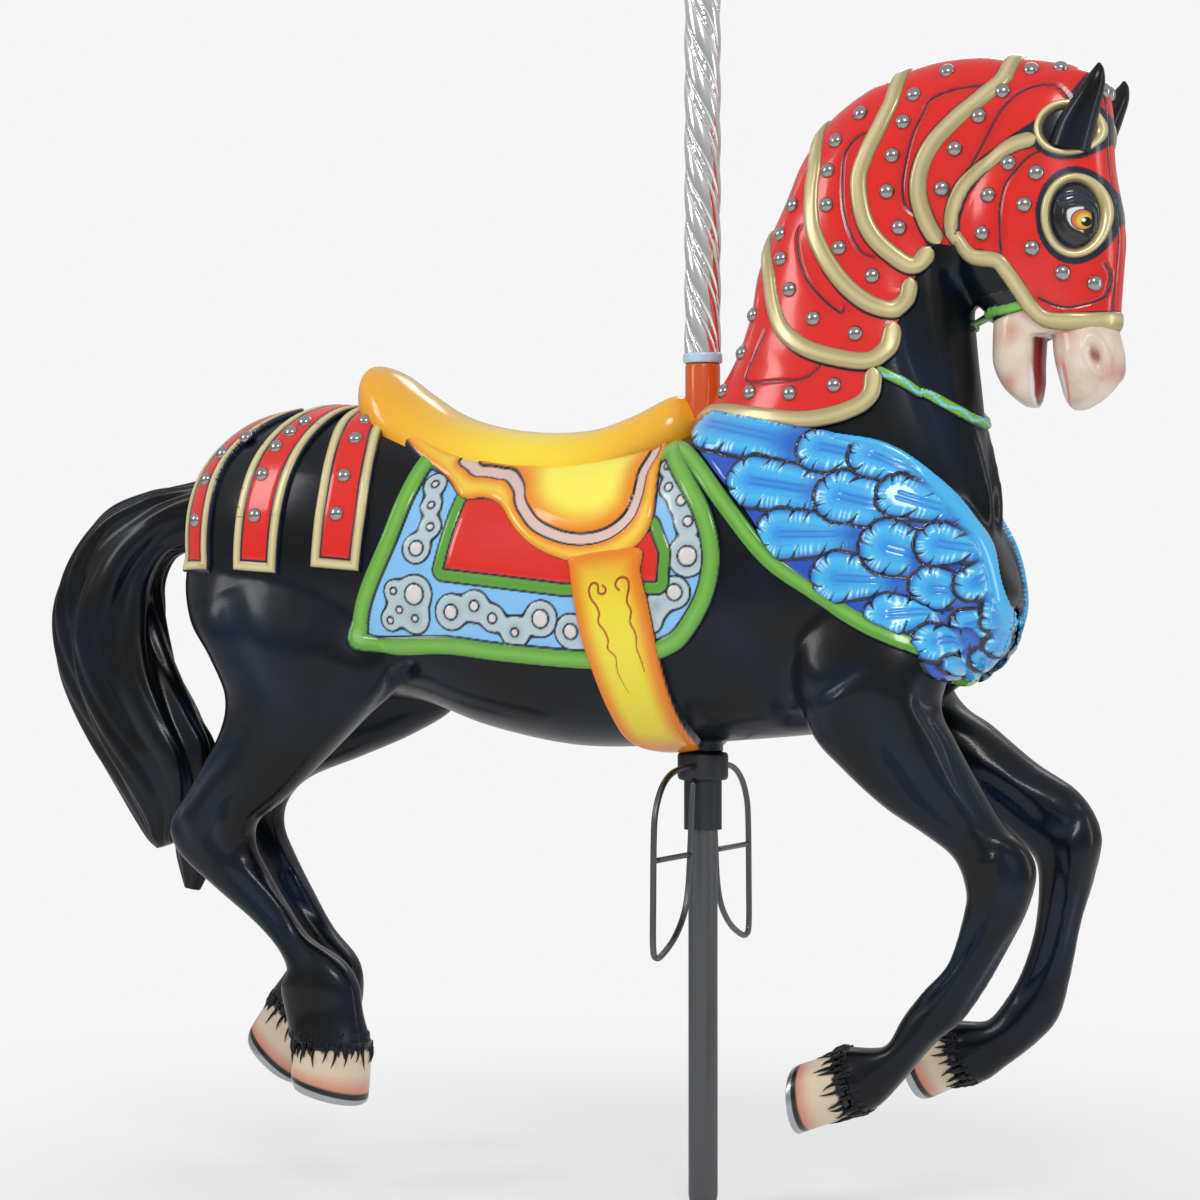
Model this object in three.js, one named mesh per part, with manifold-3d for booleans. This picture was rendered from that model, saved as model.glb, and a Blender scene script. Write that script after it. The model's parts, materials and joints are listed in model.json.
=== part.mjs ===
// Carousel jumper horse on its pole: a moulded figure in parade armour, saddled and winged,
// carried by a steel pole with a twisted sleeve above and a clamp with two foot rests below.
// Millimetres, +Z up, +X towards the horse's head, +Y to its left. Origin: the foot of the pole.
import * as THREE from "three";
import { mergeVertices } from "three/addons/utils/BufferGeometryUtils.js";
import Module from "manifold-3d";

const wasm = await Module();
wasm.setup();

// ---- driving dimensions ----------------------------------------------------------------------
const poleTop = 1850;
const poleRadius = 20.5;
const gap = 0.3; // left between two pieces that touch
const boreRadius = poleRadius + gap;
const twist = { radius: 25.8, groove: 2.6, starts: 4, pitch: 280, rise: 25, foot: 1191 };
const ring = { radius: 27.5, foot: 1177 };
const pommelRadius = 24.5;
const bellyBoss = { radius: 28.5, foot: 633 };
const clamp = { radius: 35.5, foot: 594, sleeveRadius: 26.5, sleeveFoot: 525, chamfer: 5 };
const rest = { rod: 4.3, out: 183, corner: 362, bar: 493 };
const hindLegs = 105; // from the middle plane to the middle of a hind leg
const foreLegs = 98;
const relief = { strap: 4, plate: 6, trim: 10, saddle: 13, fender: 18 };
const trimWidth = 20;
const blanketBorderWidth = 28;
const strapWidths = { breast: 20, neck: 16, nose: 17 };
const ringWidth = 14;
const eyeOpening = 8; // the eye's ring overlaps the mask by this much
const eye = { radius: 20, x: 551, y: -52, z: 1343, across: 0.8, high: 0.9 };
const nostril = { radius: 11, x: 574, y: -50, z: 1160, across: 0.9, high: 1.5 };
const farOut = 300; // beyond the horse's sides, for cutting blocks
const roundSides = 20; // sides of every bore and round fitting
const sunk = 5; // the neck and the head lie this much inside their rows, for the armour over them
const feather = { low: 11, step: 4 }; // height of the lowest layer of feathers, and of each step up

// ---- the forms -------------------------------------------------------------------------------
// Each row is one cross-section, [frontX, frontZ, backX, backZ, halfWidth, middleY]: the two
// points where it meets the outline seen from the side, and its half width across the horse.
const torso = [
  [-818, 985, -814, 905, 42, 0],
  [-790, 1036, -782, 832, 92, 0],
  [-740, 1083, -733, 770, 134, 0],
  [-672, 1117, -665, 733, 158, 0],
  [-560, 1129, -545, 712, 168, 0],
  [-450, 1108, -425, 700, 164, 0],
  [-330, 1062, -315, 664, 160, 0],
  [-190, 1040, -185, 640, 164, 0],
  [-60, 1056, -60, 641, 166, 0],
  [45, 1100, 60, 650, 162, 0],
  [140, 1120, 180, 661, 152, 0],
  [235, 1110, 285, 676, 138, 0],
  [325, 1070, 365, 724, 118, 0],
  [392, 990, 424, 770, 92, 0],
  [430, 922, 446, 826, 56, 0],
];
const neck = [
  [-20, 1075, 330, 760, 104, 0],
  [20, 1120, 408, 880, 110, 0],
  [55, 1172, 417, 985, 106, 0],
  [80, 1240, 410, 1080, 95, 0],
  [93, 1312, 402, 1160, 85, 0],
  [128, 1388, 396, 1222, 79, 0],
  [170, 1475, 392, 1265, 75, 0],
  [240, 1534, 405, 1300, 72, 0],
  [335, 1569, 430, 1320, 70, 0],
  [430, 1571, 470, 1340, 66, 0],
  [538, 1553, 530, 1390, 57, 0],
];
const head = [
  [568, 1540, 440, 1530, 46, 0],
  [580, 1495, 400, 1475, 65, 0],
  [583, 1420, 368, 1400, 74, 0],
  [592, 1365, 360, 1340, 77, 0],
  [597, 1320, 363, 1290, 73, 0],
  [594, 1270, 388, 1246, 63, 0],
  [591, 1228, 418, 1216, 53, 0],
  [590, 1198, 424, 1192, 48, 0],
];
const nose = [
  [590, 1228, 505, 1225, 45, 0],
  [594, 1190, 503, 1195, 51, 0],
  [597, 1160, 506, 1162, 53, 0],
  [590, 1133, 514, 1130, 47, 0],
  [572, 1112, 521, 1106, 35, 0],
  [550, 1098, 532, 1094, 17, 0],
];
const jaw = [
  [500, 1225, 422, 1215, 43, 0],
  [497, 1192, 421, 1186, 45, 0],
  [495, 1160, 422, 1158, 44, 0],
  [496, 1132, 434, 1130, 38, 0],
  [491, 1113, 451, 1112, 29, 0],
  [482, 1100, 466, 1101, 13, 0],
];
const hindLegNear = [
  [-500, 1000, -740, 1000, 45, -70],
  [-440, 890, -776, 900, 66, -90],
  [-415, 780, -764, 822, 80, -100],
  [-428, 724, -728, 768, 72, -hindLegs],
  [-478, 680, -702, 708, 61, -hindLegs],
  [-546, 617, -714, 652, 50, -hindLegs],
  [-612, 558, -762, 578, 43, -hindLegs],
  [-656, 525, -797, 522, 39, -hindLegs],
  [-660, 492, -783, 478, 36, -hindLegs],
  [-640, 455, -722, 428, 31, -hindLegs],
  [-608, 408, -658, 382, 27, -hindLegs],
  [-572, 362, -618, 346, 27, -hindLegs],
  [-516, 330, -600, 312, 32, -hindLegs],
  [-490, 296, -612, 292, 35, -hindLegs],
  [-482, 250, -604, 252, 34, -hindLegs],
  [-468, 204, -590, 206, 46, -hindLegs],
];
const hindHoofNear = [
  [-470, 216, -586, 214, 40, -hindLegs],
  [-477, 138, -591, 166, 48, -hindLegs],
  [-484, 125, -586, 150, 48, -hindLegs],
];
const hindLegFar = [
  [-500, 1000, -740, 1000, 45, 70],
  [-440, 890, -778, 900, 64, 90],
  [-420, 750, -785, 830, 80, 100],
  [-440, 690, -772, 768, 70, hindLegs],
  [-510, 648, -768, 712, 58, hindLegs],
  [-600, 612, -790, 655, 48, hindLegs],
  [-685, 580, -832, 612, 41, hindLegs],
  [-724, 545, -862, 562, 38, hindLegs],
  [-732, 505, -850, 510, 35, hindLegs],
  [-713, 462, -800, 455, 31, hindLegs],
  [-684, 412, -742, 395, 27, hindLegs],
  [-646, 352, -704, 342, 27, hindLegs],
  [-602, 304, -702, 318, 32, hindLegs],
  [-594, 258, -722, 286, 34, hindLegs],
  [-606, 214, -738, 266, 34, hindLegs],
  [-642, 180, -748, 252, 45, hindLegs],
];
const hindHoofFar = [
  [-646, 190, -740, 256, 40, hindLegs],
  [-690, 122, -777, 202, 48, hindLegs],
  [-702, 114, -783, 185, 48, hindLegs],
];
const foreLegNear = [
  [290, 980, 160, 980, 36, -66],
  [350, 880, 150, 880, 48, -76],
  [384, 770, 168, 755, 68, -92],
  [373, 702, 196, 668, 64, -foreLegs],
  [392, 660, 240, 618, 54, -foreLegs],
  [424, 604, 298, 568, 47, -foreLegs],
  [457, 552, 353, 534, 42, -foreLegs],
  [488, 520, 394, 503, 39, -foreLegs],
  [500, 480, 410, 462, 38, -foreLegs],
  [491, 438, 406, 428, 33, -foreLegs],
  [464, 385, 385, 365, 28, -foreLegs],
  [434, 332, 350, 326, 26, -foreLegs],
  [402, 288, 322, 290, 28, -foreLegs],
  [366, 258, 302, 254, 31, -foreLegs],
  [326, 210, 280, 248, 31, -foreLegs],
  [293, 174, 256, 248, 34, -foreLegs],
  [266, 156, 234, 248, 45, -foreLegs],
];
const foreHoofNear = [
  [262, 160, 240, 242, 39, -foreLegs],
  [190, 132, 178, 220, 47, -foreLegs],
  [180, 128, 170, 212, 47, -foreLegs],
];
const foreLegFar = [
  [280, 980, 160, 980, 36, 66],
  [316, 880, 155, 880, 48, 76],
  [320, 785, 190, 745, 66, 92],
  [334, 715, 248, 645, 61, foreLegs],
  [388, 672, 324, 594, 53, foreLegs],
  [450, 622, 385, 548, 45, foreLegs],
  [511, 582, 430, 512, 40, foreLegs],
  [541, 528, 452, 486, 38, foreLegs],
  [532, 470, 455, 442, 35, foreLegs],
  [513, 405, 448, 388, 28, foreLegs],
  [499, 335, 428, 330, 26, foreLegs],
  [482, 275, 402, 288, 29, foreLegs],
  [448, 236, 382, 266, 31, foreLegs],
  [408, 204, 362, 264, 31, foreLegs],
  [382, 184, 346, 264, 34, foreLegs],
  [358, 176, 330, 264, 44, foreLegs],
];
const foreHoofFar = [
  [356, 182, 336, 258, 38, foreLegs],
  [304, 156, 268, 242, 46, foreLegs],
  [290, 154, 262, 232, 46, foreLegs],
];
const tail = [
  [-770, 1036, -780, 940, 24, 0],
  [-852, 1025, -846, 922, 34, 0],
  [-908, 1015, -872, 905, 42, 0],
  [-982, 985, -888, 872, 52, 0],
  [-1040, 914, -888, 838, 60, 0],
  [-1066, 830, -879, 790, 64, 0],
  [-1052, 735, -856, 738, 64, 0],
  [-1004, 638, -822, 680, 60, 0],
  [-952, 560, -794, 628, 52, 0],
  [-920, 512, -795, 560, 40, 0],
  [-902, 486, -835, 500, 26, 0],
];
const tailTip = [
  [-790, 590, -884, 590, 30, 18],
  [-796, 510, -876, 520, 26, 18],
  [-806, 450, -865, 462, 17, 18],
  [-826, 410, -852, 414, 8, 18],
];
const seat = [
  [-522, 1180, -528, 1140, 32, 0],
  [-506, 1191, -515, 1098, 64, 0],
  [-474, 1180, -488, 1050, 86, 0],
  [-432, 1150, -448, 1012, 95, 0],
  [-379, 1118, -392, 988, 96, 0],
  [-314, 1097, -322, 975, 94, 0],
  [-235, 1086, -240, 970, 92, 0],
  [-157, 1088, -155, 975, 88, 0],
  [-96, 1106, -84, 992, 78, 0],
  [-42, 1131, -14, 1040, 56, 0],
  [-22, 1128, 0, 1082, 28, 0],
];
const ear = [
  [560, 1432, 512, 1444, 26, -52],
  [566, 1462, 525, 1476, 24, -56],
  [574, 1494, 548, 1506, 17, -62],
  [582, 1522, 568, 1528, 9, -68],
  [582, 1540, 577, 1541, 3, -70],
];

// ---- outlines seen from the side, [x, z] ----------------------------------------------------
const bands = [
  [[468, 1590], [421, 1508], [342, 1432], [337, 1370], [361, 1319]],
  [[304, 1575], [258, 1428], [262, 1350], [334, 1286]],
  [[176, 1500], [181, 1370], [240, 1260], [318, 1238]],
  [[82, 1372], [126, 1250], [190, 1180], [290, 1164]],
  [[-12, 1110], [60, 1096], [240, 1092], [277, 1146]],
];
const maskEdge = [
  [495, 1448], [428, 1418], [384, 1362], [384, 1314], [443, 1291], [480, 1232], [510, 1210], [625, 1212],
];
const armour = [
  [-12, 1106], [185, 1082], [266, 1102], [281, 1150], [304, 1172], [304, 1212], [327, 1250], [340, 1288],
  [361, 1319], [384, 1362], [428, 1418], [560, 1470], [640, 1560], [450, 1640], [-12, 1640],
];
const mask = [...maskEdge.slice(0, -1), [660, 1209], [660, 1640], [560, 1640]];
const earRing = { x: 534, z: 1462, width: 82, height: 76 };
const eyeRing = { x: 549, z: 1346, width: 92, height: 118 };
const rumpStraps = [
  [[-534, 1180], [-522, 1046], [-535, 888], [-452, 882], [-440, 990], [-470, 1180]],
  [[-576, 1180], [-600, 1104], [-650, 1020], [-663, 884], [-586, 884], [-570, 1000], [-528, 1180]],
  [[-640, 1180], [-662, 1084], [-697, 1010], [-706, 882], [-800, 880], [-800, 1180]],
];
const blanket = [
  [-380, 1140], [-422, 930], [-480, 770], [-321, 769], [-104, 750], [14, 768],
  [74, 836], [90, 900], [66, 982], [-10, 1070], [-40, 1140],
];
const skirt = [
  [-456, 1110], [-330, 1012], [-268, 985], [-176, 912], [-107, 891], [-38, 912],
  [-12, 965], [-30, 1120], [-300, 1140],
];
const fender = [[-128, 900], [-28, 906], [-4, 807], [10, 652], [-86, 652], [-104, 720]];
const wing = [
  [-6, 1092], [57, 1104], [214, 1074], [339, 1034], [425, 952], [480, 880], [480, 790], [440, 730],
  [383, 742], [229, 843], [123, 954],
];
const breastStrap = [[-24, 1090], [85, 967], [148, 896], [290, 793], [400, 722]];
const neckStrap = [[286, 1150], [440, 1076]];
const noseStrap = [[400, 1214], [484, 1236]];
// Feathers, [tipX, tipZ, direction in degrees, length, width, layer], from the back to the front.
const feathers = [
  [12, 1078, -6, 170, 44, 1],
  [178, 1048, -14, 130, 44, 2],
  [72, 1006, -12, 130, 52, 2],
  [208, 992, -20, 120, 50, 3],
  [300, 984, -28, 110, 50, 1],
  [136, 936, -8, 140, 48, 1],
  [268, 928, -16, 100, 48, 2],
  [346, 926, -34, 90, 44, 3],
  [210, 874, -4, 120, 44, 2],
  [332, 868, -18, 90, 44, 1],
  [288, 828, 6, 100, 40, 3],
  [378, 816, 0, 70, 36, 2],
  [340, 784, 14, 80, 32, 1],
];

// ---- making solids ---------------------------------------------------------------------------

// A Catmull-Rom curve through the columns of some rows, read at t from 0 to rows.length - 1.
function between(rows, t) {
  const i = Math.min(Math.floor(t), rows.length - 2);
  const f = t - i;
  const row = (k) => rows[Math.max(0, Math.min(rows.length - 1, k))];
  const [a, b, c, d] = [row(i - 1), row(i), row(i + 1), row(i + 2)];
  return b.map((v, k) => {
    const bend = 2 * a[k] - 5 * v + 4 * c[k] - d[k] + f * (3 * (v - c[k]) + d[k] - a[k]);
    return v + 0.5 * f * (c[k] - a[k] + f * bend);
  });
}

// A closed skin over rings of points, each ring running the same way round, with its ends fanned.
function skin(rings) {
  const sides = rings[0].length;
  const middle = (ring) => ring.reduce((s, p) => s.add(p), new THREE.Vector3()).divideScalar(sides);
  const points = [...rings.flat(), middle(rings[0]), middle(rings[rings.length - 1])];
  const index = [];
  for (let r = 0; r + 1 < rings.length; r++)
    for (let k = 0; k < sides; k++) {
      const a = r * sides + k;
      const b = r * sides + ((k + 1) % sides);
      index.push(a, b, a + sides, b, b + sides, a + sides);
    }
  const first = rings.length * sides;
  const last = (rings.length - 1) * sides;
  for (let k = 0; k < sides; k++) {
    const n = (k + 1) % sides;
    index.push(first, n, k, first + 1, last + k, last + n);
  }
  return new THREE.BufferGeometry().setFromPoints(points).setIndex(index);
}

// A three.js geometry as a manifold solid, turned right side out.
function solid(geometry) {
  const bare = new THREE.BufferGeometry().setAttribute("position", geometry.getAttribute("position"));
  bare.setIndex(geometry.index);
  const merged = mergeVertices(bare, 1e-3);
  const triVerts = new Uint32Array(merged.index.array);
  const vertProperties = merged.attributes.position.array;
  const make = () => new wasm.Manifold(new wasm.Mesh({ numProp: 3, vertProperties, triVerts }));
  let made = make();
  if (made.volume() < 0) {
    for (let i = 0; i < triVerts.length; i += 3)
      [triVerts[i + 1], triVerts[i + 2]] = [triVerts[i + 2], triVerts[i + 1]];
    made = make();
  }
  return made;
}

// A limb over its cross-sections: sides round each one, steps of the curve between two rows,
// all of it grown outwards by grow. Every other side lies deeper by the share flute.
function limb(rows, sides, steps = 1, grow = 0, fullness = 0.9, flute = 0) {
  const rings = [];
  for (let r = 0; r <= (rows.length - 1) * steps; r++) {
    const [ax, az, bx, bz, w, y] = between(rows, r / steps);
    const half = new THREE.Vector3(ax - bx, 0, az - bz).multiplyScalar(0.5);
    const reach = half.length();
    half.multiplyScalar((reach + grow) / reach);
    rings.push(
      Array.from({ length: sides }, (_, k) => {
        const turn = (2 * Math.PI * k) / sides;
        const deep = k % 2 ? 1 - flute : 1;
        const bend = (v) => deep * Math.sign(v) * Math.abs(v) ** fullness;
        return new THREE.Vector3((ax + bx) / 2, y, (az + bz) / 2)
          .addScaledVector(half, bend(Math.cos(turn)))
          .add(new THREE.Vector3(0, (w + grow) * bend(Math.sin(turn)), 0));
      }),
    );
  }
  return solid(skin(rings));
}

const union = (solids) => solids.reduce((a, b) => a.add(b));
const reflected = (made) => made.mirror([0, 1, 0]);
const bothSides = (made) => made.add(reflected(made));

// The forms under the trappings, grown outwards by grow: each strap or plate is cut from these.
const barrel = (grow) => limb(torso, 14, 1, grow);
const chest = (grow) => barrel(grow).add(limb(neck.slice(0, 4), 12, 1, grow - sunk)); // and the neck's root
const crest = (grow) => union([neck, head, nose].map((rows) => limb(rows, 12, 1, grow - sunk)));

// A block that runs across the horse between two values of y, its outline [x, z] seen from the side.
function block(outline, fromY = -farOut, toY = farOut) {
  const shape = new THREE.Shape(outline.map(([x, z]) => new THREE.Vector2(x, z)));
  const geometry = new THREE.ExtrudeGeometry(shape, { depth: toY - fromY, bevelEnabled: false });
  return solid(geometry.rotateX(Math.PI / 2).translate(0, toY, 0));
}

// An open line [x, z] moved sideways by a distance, its corners mitred.
function beside(line, distance) {
  return line.map(([x, z], i) => {
    const [ax, az] = line[Math.max(i - 1, 0)];
    const [bx, bz] = line[Math.min(i + 1, line.length - 1)];
    const length = Math.hypot(bx - ax, bz - az);
    return [x - ((bz - az) * distance) / length, z + ((bx - ax) * distance) / length];
  });
}

// The outline of a band of some width along an open line.
const band = (line, width) => [...beside(line, width / 2), ...beside(line, -width / 2).reverse()];

// A closed outline moved inwards by a distance.
function inset(outline, distance) {
  const n = outline.length;
  const side = Math.sign(THREE.ShapeUtils.area(outline.map(([x, z]) => new THREE.Vector2(x, z))));
  return outline.map((p, i) => {
    const [before, after] = [outline[(i + n - 1) % n], outline[(i + 1) % n]];
    const unit = (a, b) => new THREE.Vector2(b[0] - a[0], b[1] - a[1]).normalize();
    const [u, v] = [unit(before, p), unit(p, after)];
    const mitre = distance / Math.max(0.5, 1 + u.dot(v));
    return [p[0] - side * (u.y + v.y) * mitre, p[1] + side * (u.x + v.x) * mitre];
  });
}

// The outline of a round boss, grown all round by extra.
const oval = ({ x, z, width, height }, extra, sides) =>
  Array.from({ length: sides }, (_, k) => {
    const turn = (2 * Math.PI * k) / sides;
    return [x + ((width + extra) / 2) * Math.cos(turn), z + ((height + extra) / 2) * Math.sin(turn)];
  });

// One feather: straight sides that close to a point under the feathers in front, a round tip behind.
function featherOutline([tipX, tipZ, degrees, length, width]) {
  const along = THREE.MathUtils.degToRad(degrees);
  const profile = [[0, 0.2], [0.16, 0.5], [1, 0.36]];
  const half = profile.map(([t, w]) => [t * length, w * width]);
  const local = [...half, ...half.map(([t, w]) => [t, -w]).reverse()];
  return local.map(([t, w]) => [
    tipX + t * Math.cos(along) - w * Math.sin(along),
    tipZ + t * Math.sin(along) + w * Math.cos(along),
  ]);
}

// ---- the figure ------------------------------------------------------------------------------
const limbs = [
  limb(hindLegNear, 8),
  limb(hindLegFar, 8),
  limb(foreLegNear, 8),
  limb(foreLegFar, 8),
  limb(hindHoofNear, 8),
  limb(hindHoofFar, 8),
  limb(foreHoofNear, 8),
  limb(foreHoofFar, 8),
];
const trunk = [limb(torso, 14), limb(neck, 12, 1, -sunk), limb(head, 12, 1, -sunk), limb(nose, 10), limb(jaw, 10)];
const body = union([...trunk, ...limbs]);
const tailSolid = limb(tail, 14, 1, 0, 0.9, 0.16).add(limb(tailTip, 8));
const ears = bothSides(limb(ear, 8));

const armourRim = union([...bands, maskEdge].map((line) => block(band(line, trimWidth))));
const plates = crest(relief.plate)
  .intersect(block(armour).add(block(mask)))
  .subtract(block(oval(eyeRing, -2 * eyeOpening, 8)));
const trims = crest(relief.trim).add(barrel(relief.trim)).intersect(armourRim);
const ringOf = (boss) => block(oval(boss, 0, 8)).subtract(block(oval(boss, -2 * ringWidth, 8)));
const rings = crest(relief.trim).intersect(ringOf(eyeRing).add(ringOf(earRing)));

const straps = barrel(relief.plate).intersect(union(rumpStraps.map((outline) => block(outline))));
const blanketBorder = block(blanket).subtract(block(inset(blanket, blanketBorderWidth)));
const cloth = barrel(relief.strap)
  .intersect(block(blanket))
  .add(barrel(relief.trim).intersect(blanketBorder));
const saddle = union([
  barrel(relief.saddle).intersect(block(skirt)),
  barrel(relief.fender).intersect(block(fender)),
  limb(seat, 10),
]);
const collar = limb(neck, 12, 1, relief.plate - sunk);
const girths = chest(relief.plate)
  .add(collar)
  .intersect(block(band(breastStrap, strapWidths.breast)).add(block(band(neckStrap, strapWidths.neck))));
const noseband = limb(head, 12, 1, relief.plate - sunk).intersect(block(band(noseStrap, strapWidths.nose)));

const wingInner = -16; // the wings leave the middle of the chest bare
const wingBase = chest(relief.plate).intersect(block(wing, -farOut, wingInner));
const quills = [1, 2, 3].map((layer) => {
  const height = feather.low + feather.step * (layer - 1);
  const blocks = feathers.filter((row) => row[5] === layer).map((row) => block(featherOutline(row), -farOut, wingInner));
  return chest(height).intersect(union(blocks));
});
const wings = bothSides(union([wingBase, ...quills]));

// A round column about the pole's axis between two heights.
function column(radius, foot, top) {
  const upright = new THREE.CylinderGeometry(radius, radius, top - foot, roundSides).rotateX(Math.PI / 2);
  return solid(upright.translate(0, 0, (foot + top) / 2));
}

// A pair of balls, squashed across the horse and in height.
const balls = ({ radius, x, y, z, across, high }) =>
  bothSides(solid(new THREE.SphereGeometry(radius, 8, 6).scale(1, across, high).translate(x, y, z)));

const bosses = column(pommelRadius, 1040, ring.foot - gap).add(column(bellyBoss.radius, bellyBoss.foot, 700));

const figure = union([
  body.subtract(balls(nostril)),
  tailSolid,
  ears,
  plates,
  trims,
  rings,
  balls(eye),
  straps,
  cloth,
  saddle,
  girths,
  noseband,
  wings,
  bosses,
]).subtract(column(boreRadius, bellyBoss.foot - 1, ring.foot + 1));

// ---- the pole and its fittings -------------------------------------------------------------

// A profile of [radius, height] turned about the pole's axis.
function turned(profile) {
  const points = profile.map(([r, z]) => new THREE.Vector2(r, z));
  return solid(new THREE.LatheGeometry(points, roundSides).rotateX(Math.PI / 2));
}

const pole = turned([[0, 0], [15, 0], [18.5, 5], [poleRadius, 16], [poleRadius, poleTop], [0, poleTop]]);

// The twisted sleeve: rope strands, a ridge and a groove each, that turn as it rises.
function twistedSleeve() {
  const foot = twist.foot + gap;
  const sides = 2 * twist.starts;
  const count = Math.round((poleTop - foot) / twist.rise);
  const rings = Array.from({ length: count + 1 }, (_, r) => {
    const z = foot + ((poleTop - foot) * r) / count;
    return Array.from({ length: sides }, (_, k) => {
      const turn = -2 * Math.PI * (k / sides + z / twist.pitch);
      const radius = k % 2 ? twist.radius : twist.radius - twist.groove;
      return new THREE.Vector3(radius * Math.cos(turn), radius * Math.sin(turn), z);
    });
  });
  return solid(skin(rings)).subtract(column(boreRadius, twist.foot - 1, poleTop + 1));
}

const ringEdge = 1.5; // how far its corners are turned off
const ringSolid = turned([
  [0, ring.foot],
  [ring.radius - ringEdge, ring.foot],
  [ring.radius, ring.foot + 2 * ringEdge],
  [ring.radius, twist.foot - 2 * ringEdge],
  [ring.radius - ringEdge, twist.foot],
  [0, twist.foot],
]).subtract(column(boreRadius, ring.foot - 1, twist.foot + 1));

const clampTop = bellyBoss.foot - gap;
const clampSolid = turned([
  [0, clamp.sleeveFoot],
  [clamp.sleeveRadius, clamp.sleeveFoot],
  [clamp.sleeveRadius, clamp.foot],
  [clamp.radius - clamp.chamfer, clamp.foot],
  [clamp.radius, clamp.foot + clamp.chamfer],
  [clamp.radius, clampTop - clamp.chamfer],
  [clamp.radius - clamp.chamfer, clampTop],
  [0, clampTop],
]).subtract(column(boreRadius, clamp.sleeveFoot - 1, clampTop + 1));

// A foot rest: a rod bent into a stirrup, with a bar across it.
function footRest() {
  const line = [
    [clamp.radius + gap, 614],
    [80, 613],
    [122, 606],
    [154, 588],
    [175, 558],
    [181, 520],
    [rest.out, 440],
    [rest.out, rest.corner + 14],
    [rest.out - 12, rest.corner],
    [146, 366],
    [105, 384],
    [72, 412],
    [56, 446],
    [48, 500],
    [42, 560],
    [36, clamp.foot - gap],
  ].map(([y, z]) => new THREE.Vector3(0, y, z));
  const path = new THREE.CatmullRomCurve3(line, false, "centripetal");
  const round = new THREE.Shape().absarc(0, 0, rest.rod, 0, 2 * Math.PI);
  const loop = solid(new THREE.ExtrudeGeometry(round, { steps: 22, curveSegments: 3, extrudePath: path }));
  const inner = 49; // where the bar meets the rod near the pole
  const bar = new THREE.CylinderGeometry(rest.rod, rest.rod, rest.out - inner, 6);
  return loop.add(solid(bar.translate(0, (rest.out + inner) / 2, rest.bar)));
}

// A named mesh from a solid, with its own material.
function meshOf(name, made, colour, roughness, metalness) {
  const m = made.getMesh();
  const v = new Float32Array(m.numVert * 3);
  for (let i = 0; i < m.numVert; i++)
    v.set(m.vertProperties.subarray(i * m.numProp, i * m.numProp + 3), i * 3);
  const g = new THREE.BufferGeometry()
    .setAttribute("position", new THREE.BufferAttribute(v, 3))
    .setIndex(new THREE.BufferAttribute(m.triVerts, 1));
  g.computeVertexNormals();
  const mesh = new THREE.Mesh(g, new THREE.MeshStandardMaterial({ color: colour, roughness, metalness }));
  mesh.name = name;
  return mesh;
}

const carouselHorse = new THREE.Group();
carouselHorse.add(meshOf("horse", figure, 0x14181f, 0.25, 0));
carouselHorse.add(meshOf("pole", pole, 0x4a4a4a, 0.45, 1));
carouselHorse.add(meshOf("twisted_sleeve", twistedSleeve(), 0xd8d8d6, 0.15, 1));
carouselHorse.add(meshOf("pole_ring", ringSolid, 0xbcd8e4, 0.3, 0));
carouselHorse.add(meshOf("pole_clamp", clampSolid, 0x4a4a4a, 0.4, 1));
carouselHorse.add(meshOf("foot_rest_left", footRest(), 0x6a6a6a, 0.4, 1));
carouselHorse.add(meshOf("foot_rest_right", reflected(footRest()), 0x6a6a6a, 0.4, 1));
export default carouselHorse;
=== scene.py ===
import json
import math

import bpy
import numpy as np
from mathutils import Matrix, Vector

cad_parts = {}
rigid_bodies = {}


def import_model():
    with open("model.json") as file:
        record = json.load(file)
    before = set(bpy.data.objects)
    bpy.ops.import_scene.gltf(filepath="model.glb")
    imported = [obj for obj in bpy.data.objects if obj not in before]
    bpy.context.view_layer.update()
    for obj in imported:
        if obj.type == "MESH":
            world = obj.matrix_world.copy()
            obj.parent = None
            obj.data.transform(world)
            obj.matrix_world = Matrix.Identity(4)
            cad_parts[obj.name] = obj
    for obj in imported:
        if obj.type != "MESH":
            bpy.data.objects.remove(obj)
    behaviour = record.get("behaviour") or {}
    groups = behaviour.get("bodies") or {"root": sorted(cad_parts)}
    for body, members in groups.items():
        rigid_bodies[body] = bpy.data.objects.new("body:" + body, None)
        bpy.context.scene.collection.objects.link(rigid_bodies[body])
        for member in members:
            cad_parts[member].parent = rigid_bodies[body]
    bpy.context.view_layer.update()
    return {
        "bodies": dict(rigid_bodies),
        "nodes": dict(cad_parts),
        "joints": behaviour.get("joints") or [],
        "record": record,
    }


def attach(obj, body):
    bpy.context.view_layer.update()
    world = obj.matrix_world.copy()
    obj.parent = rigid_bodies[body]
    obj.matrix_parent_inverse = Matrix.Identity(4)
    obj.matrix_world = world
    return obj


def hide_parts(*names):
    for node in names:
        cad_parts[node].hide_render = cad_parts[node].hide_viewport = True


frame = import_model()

rng = np.random.default_rng(11)
mm = 0.001
print("frame loaded")


def toLinear(hexColour):
    # sRGB "#rrggbb" to the linear colour that a shader socket takes
    srgb = [int(hexColour[i:i + 2], 16) / 255 for i in (1, 3, 5)]
    return tuple(c / 12.92 if c <= 0.04045 else ((c + 0.055) / 1.055) ** 2.4 for c in srgb) + (1.0,)


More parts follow.
